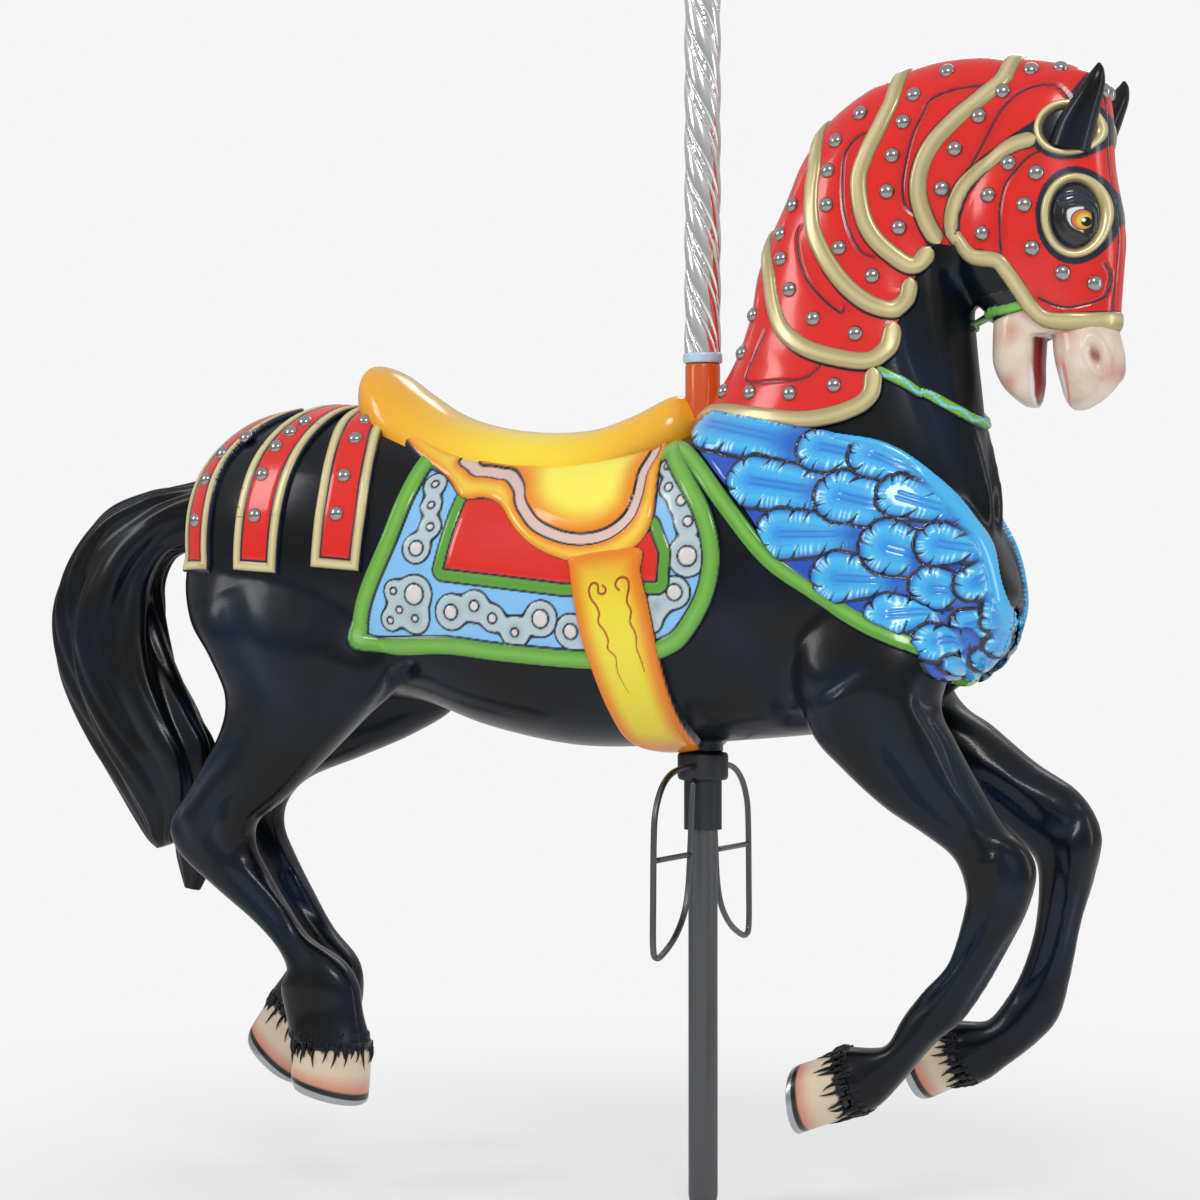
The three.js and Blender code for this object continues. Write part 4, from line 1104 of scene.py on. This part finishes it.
armour = {
    "plate": 6, "trim": 11.5, "width": 28, "line": 3,
    "bands": [
        [
            (361, -57, 1319), (346, -66, 1349), (337, -68, 1383), (340, -69, 1416), (355, -67, 1448),
            (386, -64, 1480), (421, -58, 1508), (449, -47, 1535), (455, 0, 1572),
        ],
        [
            (349, -60, 1314), (338, -66, 1294), (325, -70, 1290), (304, -74, 1303), (277, -76, 1329),
            (261, -76, 1361), (254, -72, 1408), (264, -68, 1444), (283, -64, 1485), (297, -50, 1520),
            (303, 0, 1556),
        ],
        [
            (325, -68, 1273), (322, -72, 1249), (312, -75, 1236), (298, -77, 1231), (268, -80, 1242),
            (236, -80, 1269), (208, -78, 1307), (187, -72, 1350), (180, -66, 1399), (183, -55, 1436),
            (190, 0, 1492),
        ],
        [
            (303, -75, 1213), (300, -80, 1187), (292, -84, 1173), (271, -88, 1162), (229, -91, 1168),
            (185, -88, 1183), (148, -82, 1211), (126, -76, 1250), (110, -62, 1300), (100, 0, 1352),
        ],
        [
            (280, -88, 1152), (279, -90, 1124), (272, -92, 1110), (256, -95, 1099), (224, -98, 1089),
            (180, -98, 1085), (111, -90, 1094), (40, -60, 1105), (-5, 0, 1100),
        ],
    ],
    "front": [
        (392, -58, 1312), (381, -64, 1330), (381, -66, 1356), (396, -68, 1389), (428, -70, 1418),
        (464, -71, 1441), (500, -70, 1462), (540, -58, 1490), (563, -36, 1525), (570, 0, 1538),
    ],
    "grooves": [
        [
            (399, -65, 1404), (423, -67, 1444), (451, -61, 1492), (476, -56, 1514), (502, -52, 1520),
            (525, -51, 1515), (547, -60, 1494),
        ],
        [
            (329, -69, 1360), (319, -71, 1370), (315, -72, 1389), (318, -72, 1420), (328, -67, 1462),
            (340, -64, 1488), (352, -60, 1511), (386, -56, 1523), (417, -54, 1526),
        ],
        [
            (277, -77, 1303), (270, -78, 1305), (256, -77, 1314), (240, -74, 1343), (231, -71, 1379),
            (229, -68, 1418), (232, -62, 1446), (250, -58, 1468), (281, -60, 1477),
        ],
        [
            (238, -85, 1236), (232, -85, 1229), (210, -82, 1246), (186, -77, 1272), (170, -71, 1305),
            (163, -62, 1338), (168, -60, 1352),
        ],
        [
            (206, -95, 1158), (188, -94, 1142), (160, -93, 1139), (94, -76, 1143), (106, -68, 1179),
            (120, -65, 1210),
        ],
    ],
}


mask = {
    "outline": [
        (495, 1448), (464, 1441), (428, 1418), (396, 1389), (381, 1356), (381, 1321), (410, 1299),
        (443, 1291), (457, 1275), (473, 1250), (486, 1225), (506, 1211), (546, 1209), (600, 1213),
        (612, 1300), (612, 1400), (600, 1480), (580, 1540), (540, 1500),
    ],
    "eye": (544, 1346, 42, 57), "ear": (534, 1461, 42, 39), "stripe": 17,
    "grooves": [
        [(507, 1433), (490, 1425), (477, 1413), (458, 1388), (450, 1350), (451, 1302)],
        [(576, 1284), (581, 1272), (580, 1258), (571, 1238), (540, 1228), (518, 1231), (497, 1242)],
    ],
}


def oval(xz, x, z, halfWidth, halfHeight):
    # distance from an oval's edge in mm, positive inside
    r = np.hypot((xz[..., 0] - x) / halfWidth, (xz[..., 1] - z) / halfHeight)
    return (1 - r) * (halfWidth + halfHeight) / 2


lamePatches = []
paths = [across(b) for b in armour["bands"]]
fronts = [across(armour["front"])] + paths[:-1]
for band, front, groove in zip(paths, fronts, armour["grooves"]):
    a, b = curve(band, 230), curve(front, 230)
    v = np.linspace(0, 1, 60)[None, :, None]
    points, normal = settled(a[:, None] * (1 - v) + b[:, None] * v, horse)
    nearGroove, _ = settled(curve(groove, 60), horse)
    away = np.minimum(awayFrom(points, nearGroove), awayFrom(points, nearGroove * (1, -1, 1)))
    fromFront = awayFrom(points, b)
    height = armour["plate"] + 1.5 - 4 * smooth(-fromFront, -50, -6) - 1.6 * (1 - smooth(away, 0, 4))
    lines = np.maximum(line(away, armour["line"]), line(fromFront, 30))
    cup = oval(points[..., [0, 2]], *mask["ear"])
    height = height - 12 * smooth(cup, 6, 11)
    lamePatches.append(dict(points=(points + normal * height[..., None]) * mm, values={
        # beside each drawn groove the red takes a painted shade
        "line": lines, "dusk": np.clip(1 - away / 14, 0, 1) * 0.35,
    }))
lames = joined("neck_armour_plates", lamePatches)
# armour red gloss enamel: strong red, with painted shade darker beside the drawn grooves
redPaint = enamel("armour_gloss_enamel", "#df1d12", [("dusk", "#8f150f"), ("line", "#101b30")],
                  roughness=0.24, grain=0.15, grainSize=2.0)
place(lames, redPaint)


def trimProfile(height, sinkEdge=2.5):
    # a flat-topped rounded strip, h sqrt(1 - |s|^5), that goes down a little under the skin at its edges
    return lambda s, along, half: (height + sinkEdge) * (1 - np.abs(s) ** 5) ** 0.5 - sinkEdge


def trimPatch(path, count, width, height, **more):
    # a gold strip along a path, with drawn edges and a painted highlight along its middle, exp(-((d + 1.5) /
    # 4.5)^2)
    on, normal, rise, offset, along, half = ribbonGrid(path, count, width, trimProfile(height), **more)
    return dict(points=(on + normal * rise[..., None]) * mm, values={
        # bright: a painted highlight along the strip's middle
        "line": smooth(np.abs(offset) / half, 0.79, 0.84), "bright": np.exp(-((offset + 1.5) / 4.5) ** 2)})


trims = [trimPatch(path, 300, armour["width"], armour["trim"]) for path in paths]
maskEdge = [
    (498, -71, 1449), (464, -71, 1441), (428, -70, 1418), (396, -68, 1389), (382, -66, 1356),
    (383, -62, 1325), (408, -60, 1300), (443, -68, 1291), (457, -66, 1275), (473, -62, 1250),
    (486, -58, 1228), (506, -56, 1212), (546, -49, 1209), (580, -24, 1211), (592, 0, 1212),
]
trims.append(trimPatch(across(maskEdge), 330, 25, armour["trim"] - 1))
# metallic gold enamel: sprayed bronze powder, with a painted highlight along the middle of each trim
goldPaint = enamel("gold_metallic_enamel", "#b5a576", [("bright", "#dccf9c"), ("line", "#101b30")],
                   roughness=0.34, metallic=0.4)
for patch in trims:
    patch["flip"] = True
goldTrims = joined("gold_armour_trims", trims)
place(goldTrims, goldPaint)


def maskField(points):
    # height and painted shares of the mask at points on the head's skin, with painted shade beside its
    # grooves
    xz = points[..., [0, 2]]
    edge, eye, ear = inside(xz, mask["outline"]), oval(xz, *mask["eye"]), oval(xz, *mask["ear"])
    away = np.minimum.reduce([awayFrom(xz, curve(g, 50)) for g in mask["grooves"]])
    stripe = np.where(points[..., 0] > 560, np.abs(np.abs(points[..., 1]) - mask["stripe"]), 99)
    away = np.minimum(away, stripe)
    height = rim(edge, armour["plate"], 6) + 1.0 - 1.5 * (1 - smooth(away, 0, 4))
    height -= 12 * smooth(eye, 10, 14) + 12 * smooth(ear, 6, 11)
    return height, {
        "line": np.maximum.reduce([line(away, armour["line"]), line(eye, 11), line(ear, 9), line(edge, 24)]),
        "dusk": np.clip(1 - away / 14, 0, 1) * 0.35 * (eye < 0),
    }


# the mask lies on the head's skin, over a grid of the head's own heights and turns
t = np.linspace(0, len(forms["head"]) - 1.02, 235)
frontX, frontZ, backX, backZ, width, _ = (v[:, None] for v in throughRows(forms["head"], t).T)
turn = np.linspace(-2.6, 2.6, 341)[None, :]
c, s = bulge(np.cos(turn), 0.9), bulge(np.sin(turn), 0.9)
points = np.stack([
    (frontX + backX) / 2 + (frontX - backX) / 2 * c, width * s,
    (frontZ + backZ) / 2 + (frontZ - backZ) / 2 * c + 0 * s], -1)
points, normal = settled(points, horse)
height, shares = maskField(points)
cells = gridFaces(*height.shape, False)
cells = cells[height.ravel()[cells].max(axis=1) > -2.4]
used, cells = np.unique(cells, return_inverse=True)
raised = points + normal * height[..., None]
raised[..., 0] = np.minimum(raised[..., 0], 597.5)
faceMask = newObject(
    "face_mask", (raised * mm).reshape(-1, 3)[used], cells.reshape(-1, 4).tolist(), True,
    **{key: value.ravel()[used] for key, value in shares.items()})
place(faceMask, redPaint)
print("face mask", len(faceMask.data.polygons))

eye = {
    "box": (496, 602, 1284, 1408), "bulge": 9, "inner": (546, 1346, 32, 46),
    "opening": [
        (535.3, 1347), (537.5, 1353.5), (548.3, 1356.5), (557.2, 1355.6), (562.6, 1349.5), (564.2, 1340),
        (563.6, 1329), (561.5, 1319.5), (551.2, 1324), (542.3, 1329), (537.1, 1336.6),
    ],
    "creases": [[(526.7, 1368.6), (539.3, 1372.5), (552.7, 1371), (563.2, 1364.7)],
                [
                    (526, 1365), (532, 1360), (545.3, 1364.7), (557.2, 1362.4), (566.5, 1352.2),
                    (568.6, 1335), (564.8, 1317),
                ]],
    "iris": (553.6, 1339.3, 12.9), "yellow": (555.5, 1338.2, 8.8), "pupil": (558, 1336.8, 6.2),
    # the glint is a white painted highlight on the pupil
    "glint": (554.6, 1338.9, 2.3),
}


def eyeField(xz):
    # the eye within its ring: lids that bulge as a dome, an opening cut into them and a painted ball
    opening = inside(xz, curve(eye["opening"], 90, True))
    rimDepth = oval(xz, *eye["inner"])
    height = 1.5 + eye["bulge"] * np.sqrt(np.clip(rimDepth / 26, 0, 1))
    height -= 3 * np.exp(-((rimDepth - 3) / 3) ** 2)
    crease = np.minimum.reduce([awayFrom(xz, curve(g, 40)) for g in eye["creases"]])
    height -= 1.6 * np.exp(-(crease / 1.7) ** 2)
    height += 1.3 * np.exp(-((opening + 3) / 1.8) ** 2)
    height -= 2.6 * smooth(opening, -1.2, 1.2)
    height = np.where(rimDepth > -4, height, -3)
    disc = lambda key: np.hypot(xz[..., 0] - eye[key][0], xz[..., 1] - eye[key][1]) - eye[key][2]
    ground = smooth(opening, -0.5, 0.5)
    share = lambda key, soft: ground * (1 - smooth(disc(key), -soft, soft))
    return height, {
        # navy: painted shade in the recess by the ring and in the lid creases
        "navy": np.maximum(0.8 * np.exp(-((rimDepth - 3) / 4) ** 2), 0.6 * np.exp(-(crease / 3) ** 2)),
        "white": ground * (1 - smooth(xz[..., 0], 553, 556)), "iris": share("iris", 0.5),
        "yellow": share("yellow", 2.6), "pupil": share("pupil", 0.5),
        "glint": share("glint", 0.4),
        "line": np.maximum(line(opening + 0.4, 2.2), ground * line(disc("iris"), 1.3)),
    }


eyes = fieldPanels("painted_eyes", eye["box"], 0.8, eyeField)
# eye enamel: black lids with a wet shine round a painted amber ball, navy painted shade in the recess by the
# ring and in the lid creases, and a white painted highlight on the pupil
place(eyes, enamel("eye_gloss_enamel", "#07090c", [
    ("navy", "#14294a"), ("white", "#e9e9ec"), ("iris", "#d67634"), ("yellow", "#d9cb45"),
    ("pupil", "#050505"), ("glint", "#ffffff"),
    ("line", "#05070a")], roughness=0.2, coat=0.8))


def ringPatch(x, z, halfWidth, halfHeight, width, height, side):
    # a ring on the skin round an oval opening, its top h sqrt(1 - s^2) across its width, with a painted
    # highlight along its crown
    turn = np.linspace(0, 2 * math.pi, 120, endpoint=False)[:, None]
    s = np.linspace(-1, 1, 15)[None, :]
    rx, rz = halfWidth - width / 2 + s * width / 2, halfHeight - width / 2 + s * width / 2
    xz = np.stack([x + rx * np.cos(turn), z + rz * np.sin(turn)], -1)
    rise = (height + 3) * np.sqrt(1 - s ** 2) - 3 + 0 * turn
    sideMap = near if side < 0 else far
    grid = sideMap.points(xz, rise)
    return dict(points=np.swapaxes(grid, 0, 1) * mm, wrapped=True, flip=side > 0, values={
        "line": (smooth(np.abs(s), 0.86, 0.94) + 0 * turn).T,
        # bright: a painted highlight along the ring's crown
        "bright": (1 - smooth(np.abs(s), 0.1, 0.7) + 0 * turn).T})


rings = []
for side in (-1, 1):
    rings.append(ringPatch(*mask["eye"], 14, 12, side))
    rings.append(ringPatch(*mask["ear"], 13, 12, side))
eyeRings = joined("gold_eye_and_ear_rings", rings)
place(eyeRings, goldPaint)
print("armour done")


rumpStraps = [  # path (x, y, z) from the lower end up to the croup, with the widths along it
    ([
        (-492, -165, 888), (-484, -160, 985), (-487, -130, 1050), (-494, -90, 1095), (-500, -20, 1122),
    ], [80, 82, 78, 72, 60]),
    ([
        (-624, -160, 886), (-616, -150, 973), (-604, -128, 1039), (-580, -85, 1092), (-552, -20, 1126),
    ], [78, 80, 80, 72, 56]),
    ([
        (-736, -130, 886), (-733, -125, 981), (-721, -105, 1040), (-682, -70, 1085), (-632, -20, 1118),
    ], [66, 68, 66, 58, 44]),
]
strapPatches = []
for path, widths in rumpStraps:
    for side in (-1, 1):
        path3 = np.asarray(path, float) * (1, -side, 1)
        width = np.interp(np.linspace(0, 1, 170), np.linspace(0, 1, len(widths)), widths)
        flat = lambda s, along, half: 0 * s + 0 * along
        on, normal, _, offset, along, half = ribbonGrid(path3, 170, width, flat, columns=61, ends=False)
        edge = np.minimum(half - np.abs(offset), along)
        gold = edge < 17
        goldRise = 2.2 * np.sqrt(np.clip(np.minimum(edge, 17 - edge) / 6, 0, 1))
        redRise = 1.6 * np.sqrt(np.clip((edge - 17) / 6, 0, 1))
        height = rim(edge, 6.5, 5) + np.where(gold, goldRise, redRise)
        strapPatches.append(dict(points=(on + normal * height[..., None]) * mm, flip=side < 0, values={
            "gold": gold * 1.0, "line": np.maximum(line(edge, 5), line(edge - 17, 3.2)),
            # a painted highlight along the middle of each gold edge
            "bright": (1 - smooth(np.abs(edge - 9), 1, 6)) * gold,
        }))
straps = joined("rump_straps", strapPatches)
# strap enamel: red between two gold edges, with drawn lines where they meet and a painted highlight along
# each gold edge
place(straps, enamel("strap_gloss_enamel", "#df1d12",
                     [("gold", "#b5a576"), ("bright", "#dccf9c"), ("line", "#101b30")], roughness=0.26))


wings = {
    "outline": [
        (-8, 1090), (20, 1102), (57, 1101), (132, 1082), (214, 1071), (292, 1057), (339, 1031), (378, 990),
        (406, 953), (430, 912), (442, 865), (450, 820), (444, 780), (410, 752), (373, 737), (345, 783),
        (294, 811), (229, 846), (163, 899), (123, 956), (62, 1022),
    ],
    "lead": [
        (240, 1064), (292, 1051), (334, 1025), (368, 986), (400, 950), (423, 910), (435, 865), (443, 820),
        (440, 790),
    ],
    "feathers": [  # tip circle x, z, radius, then the root x, z, radius
        (52, 1073, 27, 190, 1046, 23), (127, 998, 30, 228, 982, 21), (171, 929, 30, 275, 928, 17),
        (247, 872, 31, 325, 868, 16),
        (316, 818, 28, 378, 824, 8), (214, 1041, 27, 290, 1024, 18), (248, 977, 30, 318, 960, 20),
        (311, 911, 32, 350, 900, 22),
        (367, 858, 26, 395, 855, 16), (281, 1031, 26, 362, 996, 12), (320, 977, 24, 398, 950, 10),
        (372, 914, 25, 425, 903, 9),
        (413, 864, 20, 430, 882, 12), (404, 812, 18, 425, 818, 12), (430, 815, 12, 434, 845, 9),
        (370, 785, 22, 398, 795, 12),
        (390, 757, 14, 402, 772, 9), (410, 768, 12, 420, 780, 8), (426, 785, 10, 433, 800, 7),
    ],
}


def wingField(xz):
    # Each feather is a capsule from its tip circle to its root: a cushion with a lobed edge, a pale band
    # with short dashes inside it, a quill groove down its middle and a few notches; later ones lie on top
    x, z = xz[..., 0], xz[..., 1]
    edge = inside(xz, curve(wings["outline"], 140, True))
    lead = 1 - smooth(awayFrom(xz, curve(wings["lead"], 60)), 4, 20)
    height = rim(edge, 9, 10)
    blade, light, stroke, quill = (np.zeros(x.shape) for _ in range(4))
    lines = line(edge, 5)
    for tipX, tipZ, r0, rootX, rootZ, r1 in wings["feathers"]:
        dx, dz = rootX - tipX, rootZ - tipZ
        length = math.hypot(dx, dz)
        r0, r1 = r0 * 1.16, r1 * 1.4
        u = ((x - tipX) * dx + (z - tipZ) * dz) / length
        w = (-(x - tipX) * dz + (z - tipZ) * dx) / length
        t = np.clip(u / length, 0, 1)
        away = np.hypot(u - t * length, w)
        plain = r0 + (r1 - r0) * t - away
        reach = np.where(u < 0, np.arctan2(w, -u) * r0, np.sign(w) * (r0 * math.pi / 2 + u))
        slot = np.abs(np.mod(reach + tipX * 0.7 + 5 * np.sin(reach * 0.09 + tipZ) + 0.5 * plain, 29.0) - 14.5)
        depth = plain - 1.7 * np.exp(-(slot / 3.2) ** 2)
        own = (depth > 0) & (edge > 1.0) & (lead < 0.7)
        narrowing = np.clip(1 - depth / (r0 * 0.5), 0, 1)
        notch = np.clip(1 - slot / (3.3 * narrowing + 1e-3), 0, 1) * (depth < r0 * 0.5)
        fade = 1 - smooth(t * length, length * 0.5, length * 0.98)
        band = np.exp(-((depth - 0.42 * r0) / (0.25 * r0)) ** 2)
        dash = smooth(np.cos(reach * 2 * math.pi / 7.6 + 1.5 * np.sin(0.23 * reach + tipX)), 0.1, 0.8)
        dash *= np.exp(-((depth - 0.32 * r0) / (0.15 * r0)) ** 2)
        dash *= smooth(np.sin(0.11 * reach + tipZ), -0.5, 0.1)
        vein = np.exp(-((np.abs(w) - 3.6) / 1.5) ** 2) * smooth(u, -3, 3) * (depth > 9)
        vein *= 1 - smooth(u, length * 0.6, length * 0.8)
        cushion = 7 * np.sqrt(np.clip(depth / 12, 0, 1)) - 1.3 * vein + 0.35 * dash - 2.4 * notch
        height = np.where(own, 9 + cushion * (0.4 + 0.6 * fade) * (1 - lead), height)
        blade = np.where(own, (0.1 + 0.9 * fade) * (0.2 + 0.8 * smooth(depth, 2, 9)), blade)
        light = np.where(own, band * (0.15 + 0.85 * fade) + 0.3 * fade * (depth > 0.6 * r0), light)
        stroke = np.where(own, dash * fade, stroke)
        quill = np.where(own, vein, quill)
        outline = line(depth, 4.8) * (t < 0.97)
        lines = np.where(own, np.maximum(outline, smooth(notch, 0.05, 0.3)),
                         np.maximum(lines, outline * (edge > 0)))
    height += 5 * lead * (edge > 3)
    return height, {
        "blade": np.maximum(blade, lead), "light": np.clip(np.maximum(light, 0.9 * lead), 0, 1),
        "stroke": np.clip(stroke * (1 - lead), 0, 1),
        "quill": 0.8 * quill * (1 - lead), "line": lines * (1 - lead * (edge > 3)),
    }


wingPanels = fieldPanels("chest_wings", (-10, 454, 732, 1108), 1.35, wingField)
# wing gloss enamel: deep blue ground, lighter feathers and near-white dashes under a full clear coat
place(wingPanels, enamel("wing_gloss_enamel", "#1450bd", [
    ("blade", "#1c7fe2"), ("light", "#46bdf3"), ("quill", "#1f74d0"), ("stroke", "#b6f0fb"),
    ("line", "#0f1a30"),
], roughness=0.2, coat=0.8))

# green gloss enamel: a painted highlight along the middle between dark drawn edges, and a pale wave on the
# neck strap
greenPaint = enamel("green_strap_enamel", "#5c9f35",
                    [("bright", "#7cbb50"), ("wave", "#7fd0ee"), ("line", "#101b30")], roughness=0.25)
strapRuns = [
    ([
        (-24, -110, 1092), (34, -125, 1034), (91, -150, 971), (154, -158, 899), (216, -150, 855),
        (294, -136, 802), (349, -110, 768), (378, -60, 742), (392, 0, 731),
    ], 27, 8.5, False),
    ([(284, -86, 1150), (352, -75, 1116), (398, -50, 1090), (412, 0, 1080)], 17, 6, True),
    ([(404, 0, 1213), (418, -40, 1218), (440, -50, 1224), (478, -52, 1234)], 17, 6, False),
]
greenPatches = []
for path, width, height, wavy in strapRuns:
    for side in (-1, 1):
        path3 = np.asarray(path, float) * (1, -side, 1)
        on, normal, rise, offset, along, half = ribbonGrid(path3, 200, width, trimProfile(height), ends=False)
        wave = 1 - smooth(np.abs(offset - 2.6 * np.sin(along * 2 * math.pi / 46)), 1.2, 2.2)
        greenPatches.append(dict(points=(on + normal * rise[..., None]) * mm, flip=side < 0, values={
            # bright: a painted highlight along the strap's rounded middle
            "line": smooth(np.abs(offset) - half, -2.6, -1.6), "bright": 1 - smooth(np.abs(offset), 1, 7),
            "wave": wave * wavy,
        }))
greens = joined("green_straps", greenPatches)
place(greens, greenPaint)


studs = {
    "radius": 11, "height": 8.5,
    "places": [
        (482, 1541), (520, 1541), (569, 1514), (449, 1514), (419, 1483), (387, 1442), (368, 1391),
        (462, 1417), (498, 1402), (435, 1377), (483, 1361), (426, 1328), (492, 1305), (529, 1272),
        (565, 1258), (369, 1547), (327, 1518), (315, 1482), (301, 1438), (294, 1390), (310, 1341),
        (251, 1499), (218, 1464), (209, 1424), (209, 1377), (229, 1317), (275, 1277), (154, 1382),
        (137, 1343), (142, 1308), (158, 1264), (195, 1222), (254, 1199), (97, 1235), (82, 1182), (55, 1129),
        (104, 1125), (166, 1121), (228, 1130), (-491, 1100), (-488, 1073), (-487, 1020), (-490, 967),
        (-580, 1100), (-593, 1085), (-607, 1064), (-618, 1025), (-622, 967), (-672, 1080), (-708, 1058),
        (-726, 1021), (-736, 963),
    ],
}


def domes(centres, normals, radius, height, bars=9, around=20):
    # half ellipsoids standing on points along normals: r = R cos(a), h = H sin(a)
    up = normals[:, None, None]
    side = np.cross(normals, [0.31, 0.12, 0.94])
    side /= np.linalg.norm(side, axis=1, keepdims=True)
    over = np.cross(normals, side)
    a = np.linspace(-0.35, math.pi / 2, bars)[None, :, None, None]
    turn = np.linspace(0, 2 * math.pi, around, endpoint=False)[None, None, :, None]
    flat = radius * np.maximum(np.cos(a), 0.02)
    ring = side[:, None, None] * np.cos(turn) + over[:, None, None] * np.sin(turn)
    return centres[:, None, None] + flat * ring + up * height * np.sin(a)


places = np.asarray(studs["places"], float)
patches = []
for sideMap in (near, far):
    base = sideMap.points(places, np.full(len(places), armour["plate"] + 1.0))
    lifted = sideMap.points(places, np.full(len(places), armour["plate"] + 5.0))
    normals = lifted - base
    normals /= np.linalg.norm(normals, axis=1, keepdims=True)
    for grid in domes(base, normals, studs["radius"], studs["height"]):
        patches.append(dict(points=grid * mm, wrapped=True, capped=True))
studObject = joined("domed_studs", patches)
# polished steel: small bright domes, each with the studio mirrored in it
studSteel = steel("polished_stud_steel", "#a8a5a4", 0.22, grain=0.2)
place(studObject, studSteel)
print("straps, wings and studs done")


studio = {
    "lens": 87.6, "camera": (1.4912, -3.8091, 0.7938), "forward": (-0.3971, 0.9178, 0.01266),
    "backdrop": "#f6f6f6", "fill": (0.3, 0.62), "floorRadius": 2.2,
    "lamps": [  # place, size, watts
        ((1.6, -3.0, 3.2), (1.1, 0.8), 40), ((-2.7, -2.4, 2.7), (0.9, 1.5), 28),
        ((0.2, 2.6, 3.0), (2.4, 0.8), 18), ((3.0, 0.2, 1.3), (0.5, 2.0), 11),
        ((0.2, -4.2, 1.2), (2.6, 2.0), 15),
    ],
}

scene = bpy.context.scene
camera = bpy.data.objects.new("camera", bpy.data.cameras.new("camera"))
scene.collection.objects.link(camera)
camera.data.lens, camera.data.sensor_width = studio["lens"], 36
camera.location = studio["camera"]
camera.rotation_euler = Vector(studio["forward"]).to_track_quat("-Z", "Y").to_euler()
scene.camera = camera
lamps = []
for spot, size, watts in studio["lamps"]:
    lamp = bpy.data.objects.new("soft_lamp", bpy.data.lights.new("soft_lamp", "AREA"))
    scene.collection.objects.link(lamp)
    lamp.data.shape, lamp.data.size, lamp.data.size_y, lamp.data.energy = "RECTANGLE", *size, watts
    lamp.location = spot
    lamp.rotation_euler = (Vector((-0.1, 0, 0.9)) - Vector(spot)).to_track_quat("-Z", "Y").to_euler()
    lamps.append(lamp)
lamps[-1].visible_glossy = False  # the last lamp only lifts the side towards the camera
turn = np.linspace(0, 2 * math.pi, 97)[:-1]
floorEdge = np.stack([14 * np.cos(turn), 14 * np.sin(turn), np.full(96, -0.001)], 1)
floor = newObject("floor", floorEdge, [list(range(96))], False)
floorPaint = bpy.data.materials.new("floor_matt_paint")
floorPaint.use_nodes = True
tree = floorPaint.node_tree
glow = add(tree, "Emission", Color=toLinear(studio["backdrop"]), Strength=1.0)
paper = tree.nodes["Principled BSDF"]
paper.inputs["Base Color"].default_value = toLinear(studio["backdrop"])
paper.inputs["Roughness"].default_value = 0.9
away = add(tree, "VectorMath", {"operation": "LENGTH"},
           i0=add(tree, "TexCoord").outputs["Object"]).outputs["Value"]
share = add(tree, "MapRange", {"interpolation_type": "SMOOTHSTEP"}, Value=away, From_Min=0.2,
            From_Max=studio["floorRadius"], To_Min=0.4).outputs["Result"]
share = add(tree, "Math", {"operation": "MULTIPLY"}, i0=share,
            i1=add(tree, "LightPath").outputs["Is Camera Ray"]).outputs[0]
blend = add(tree, "MixShader", i0=share, i1=paper.outputs[0], i2=glow.outputs[0])
tree.links.new(blend.outputs[0], tree.nodes["Material Output"].inputs["Surface"])
floor.data.materials.append(floorPaint)
world = bpy.data.worlds.new("studio")
scene.world = world
world.use_nodes = True
tree = world.node_tree
fill = tree.nodes["Background"]
up = add(tree, "SeparateXYZ", i0=add(tree, "TexCoord").outputs["Generated"]).outputs[2]
bright = add(tree, "MapRange", {"interpolation_type": "SMOOTHSTEP"}, Value=up, From_Min=-0.25, From_Max=0.75,
             To_Min=studio["fill"][0], To_Max=studio["fill"][1])
fill.inputs["Color"].default_value = (1, 1, 1, 1)
tree.links.new(bright.outputs["Result"], fill.inputs["Strength"])
seen = add(tree, "Background", Color=toLinear(studio["backdrop"]), Strength=1.0)
both = add(tree, "MixShader", i0=add(tree, "LightPath").outputs["Is Camera Ray"], i1=fill.outputs[0],
           i2=seen.outputs[0])
tree.links.new(both.outputs[0], tree.nodes["World Output"].inputs["Surface"])
scene.view_settings.view_transform = "Standard"

print("scene ready")
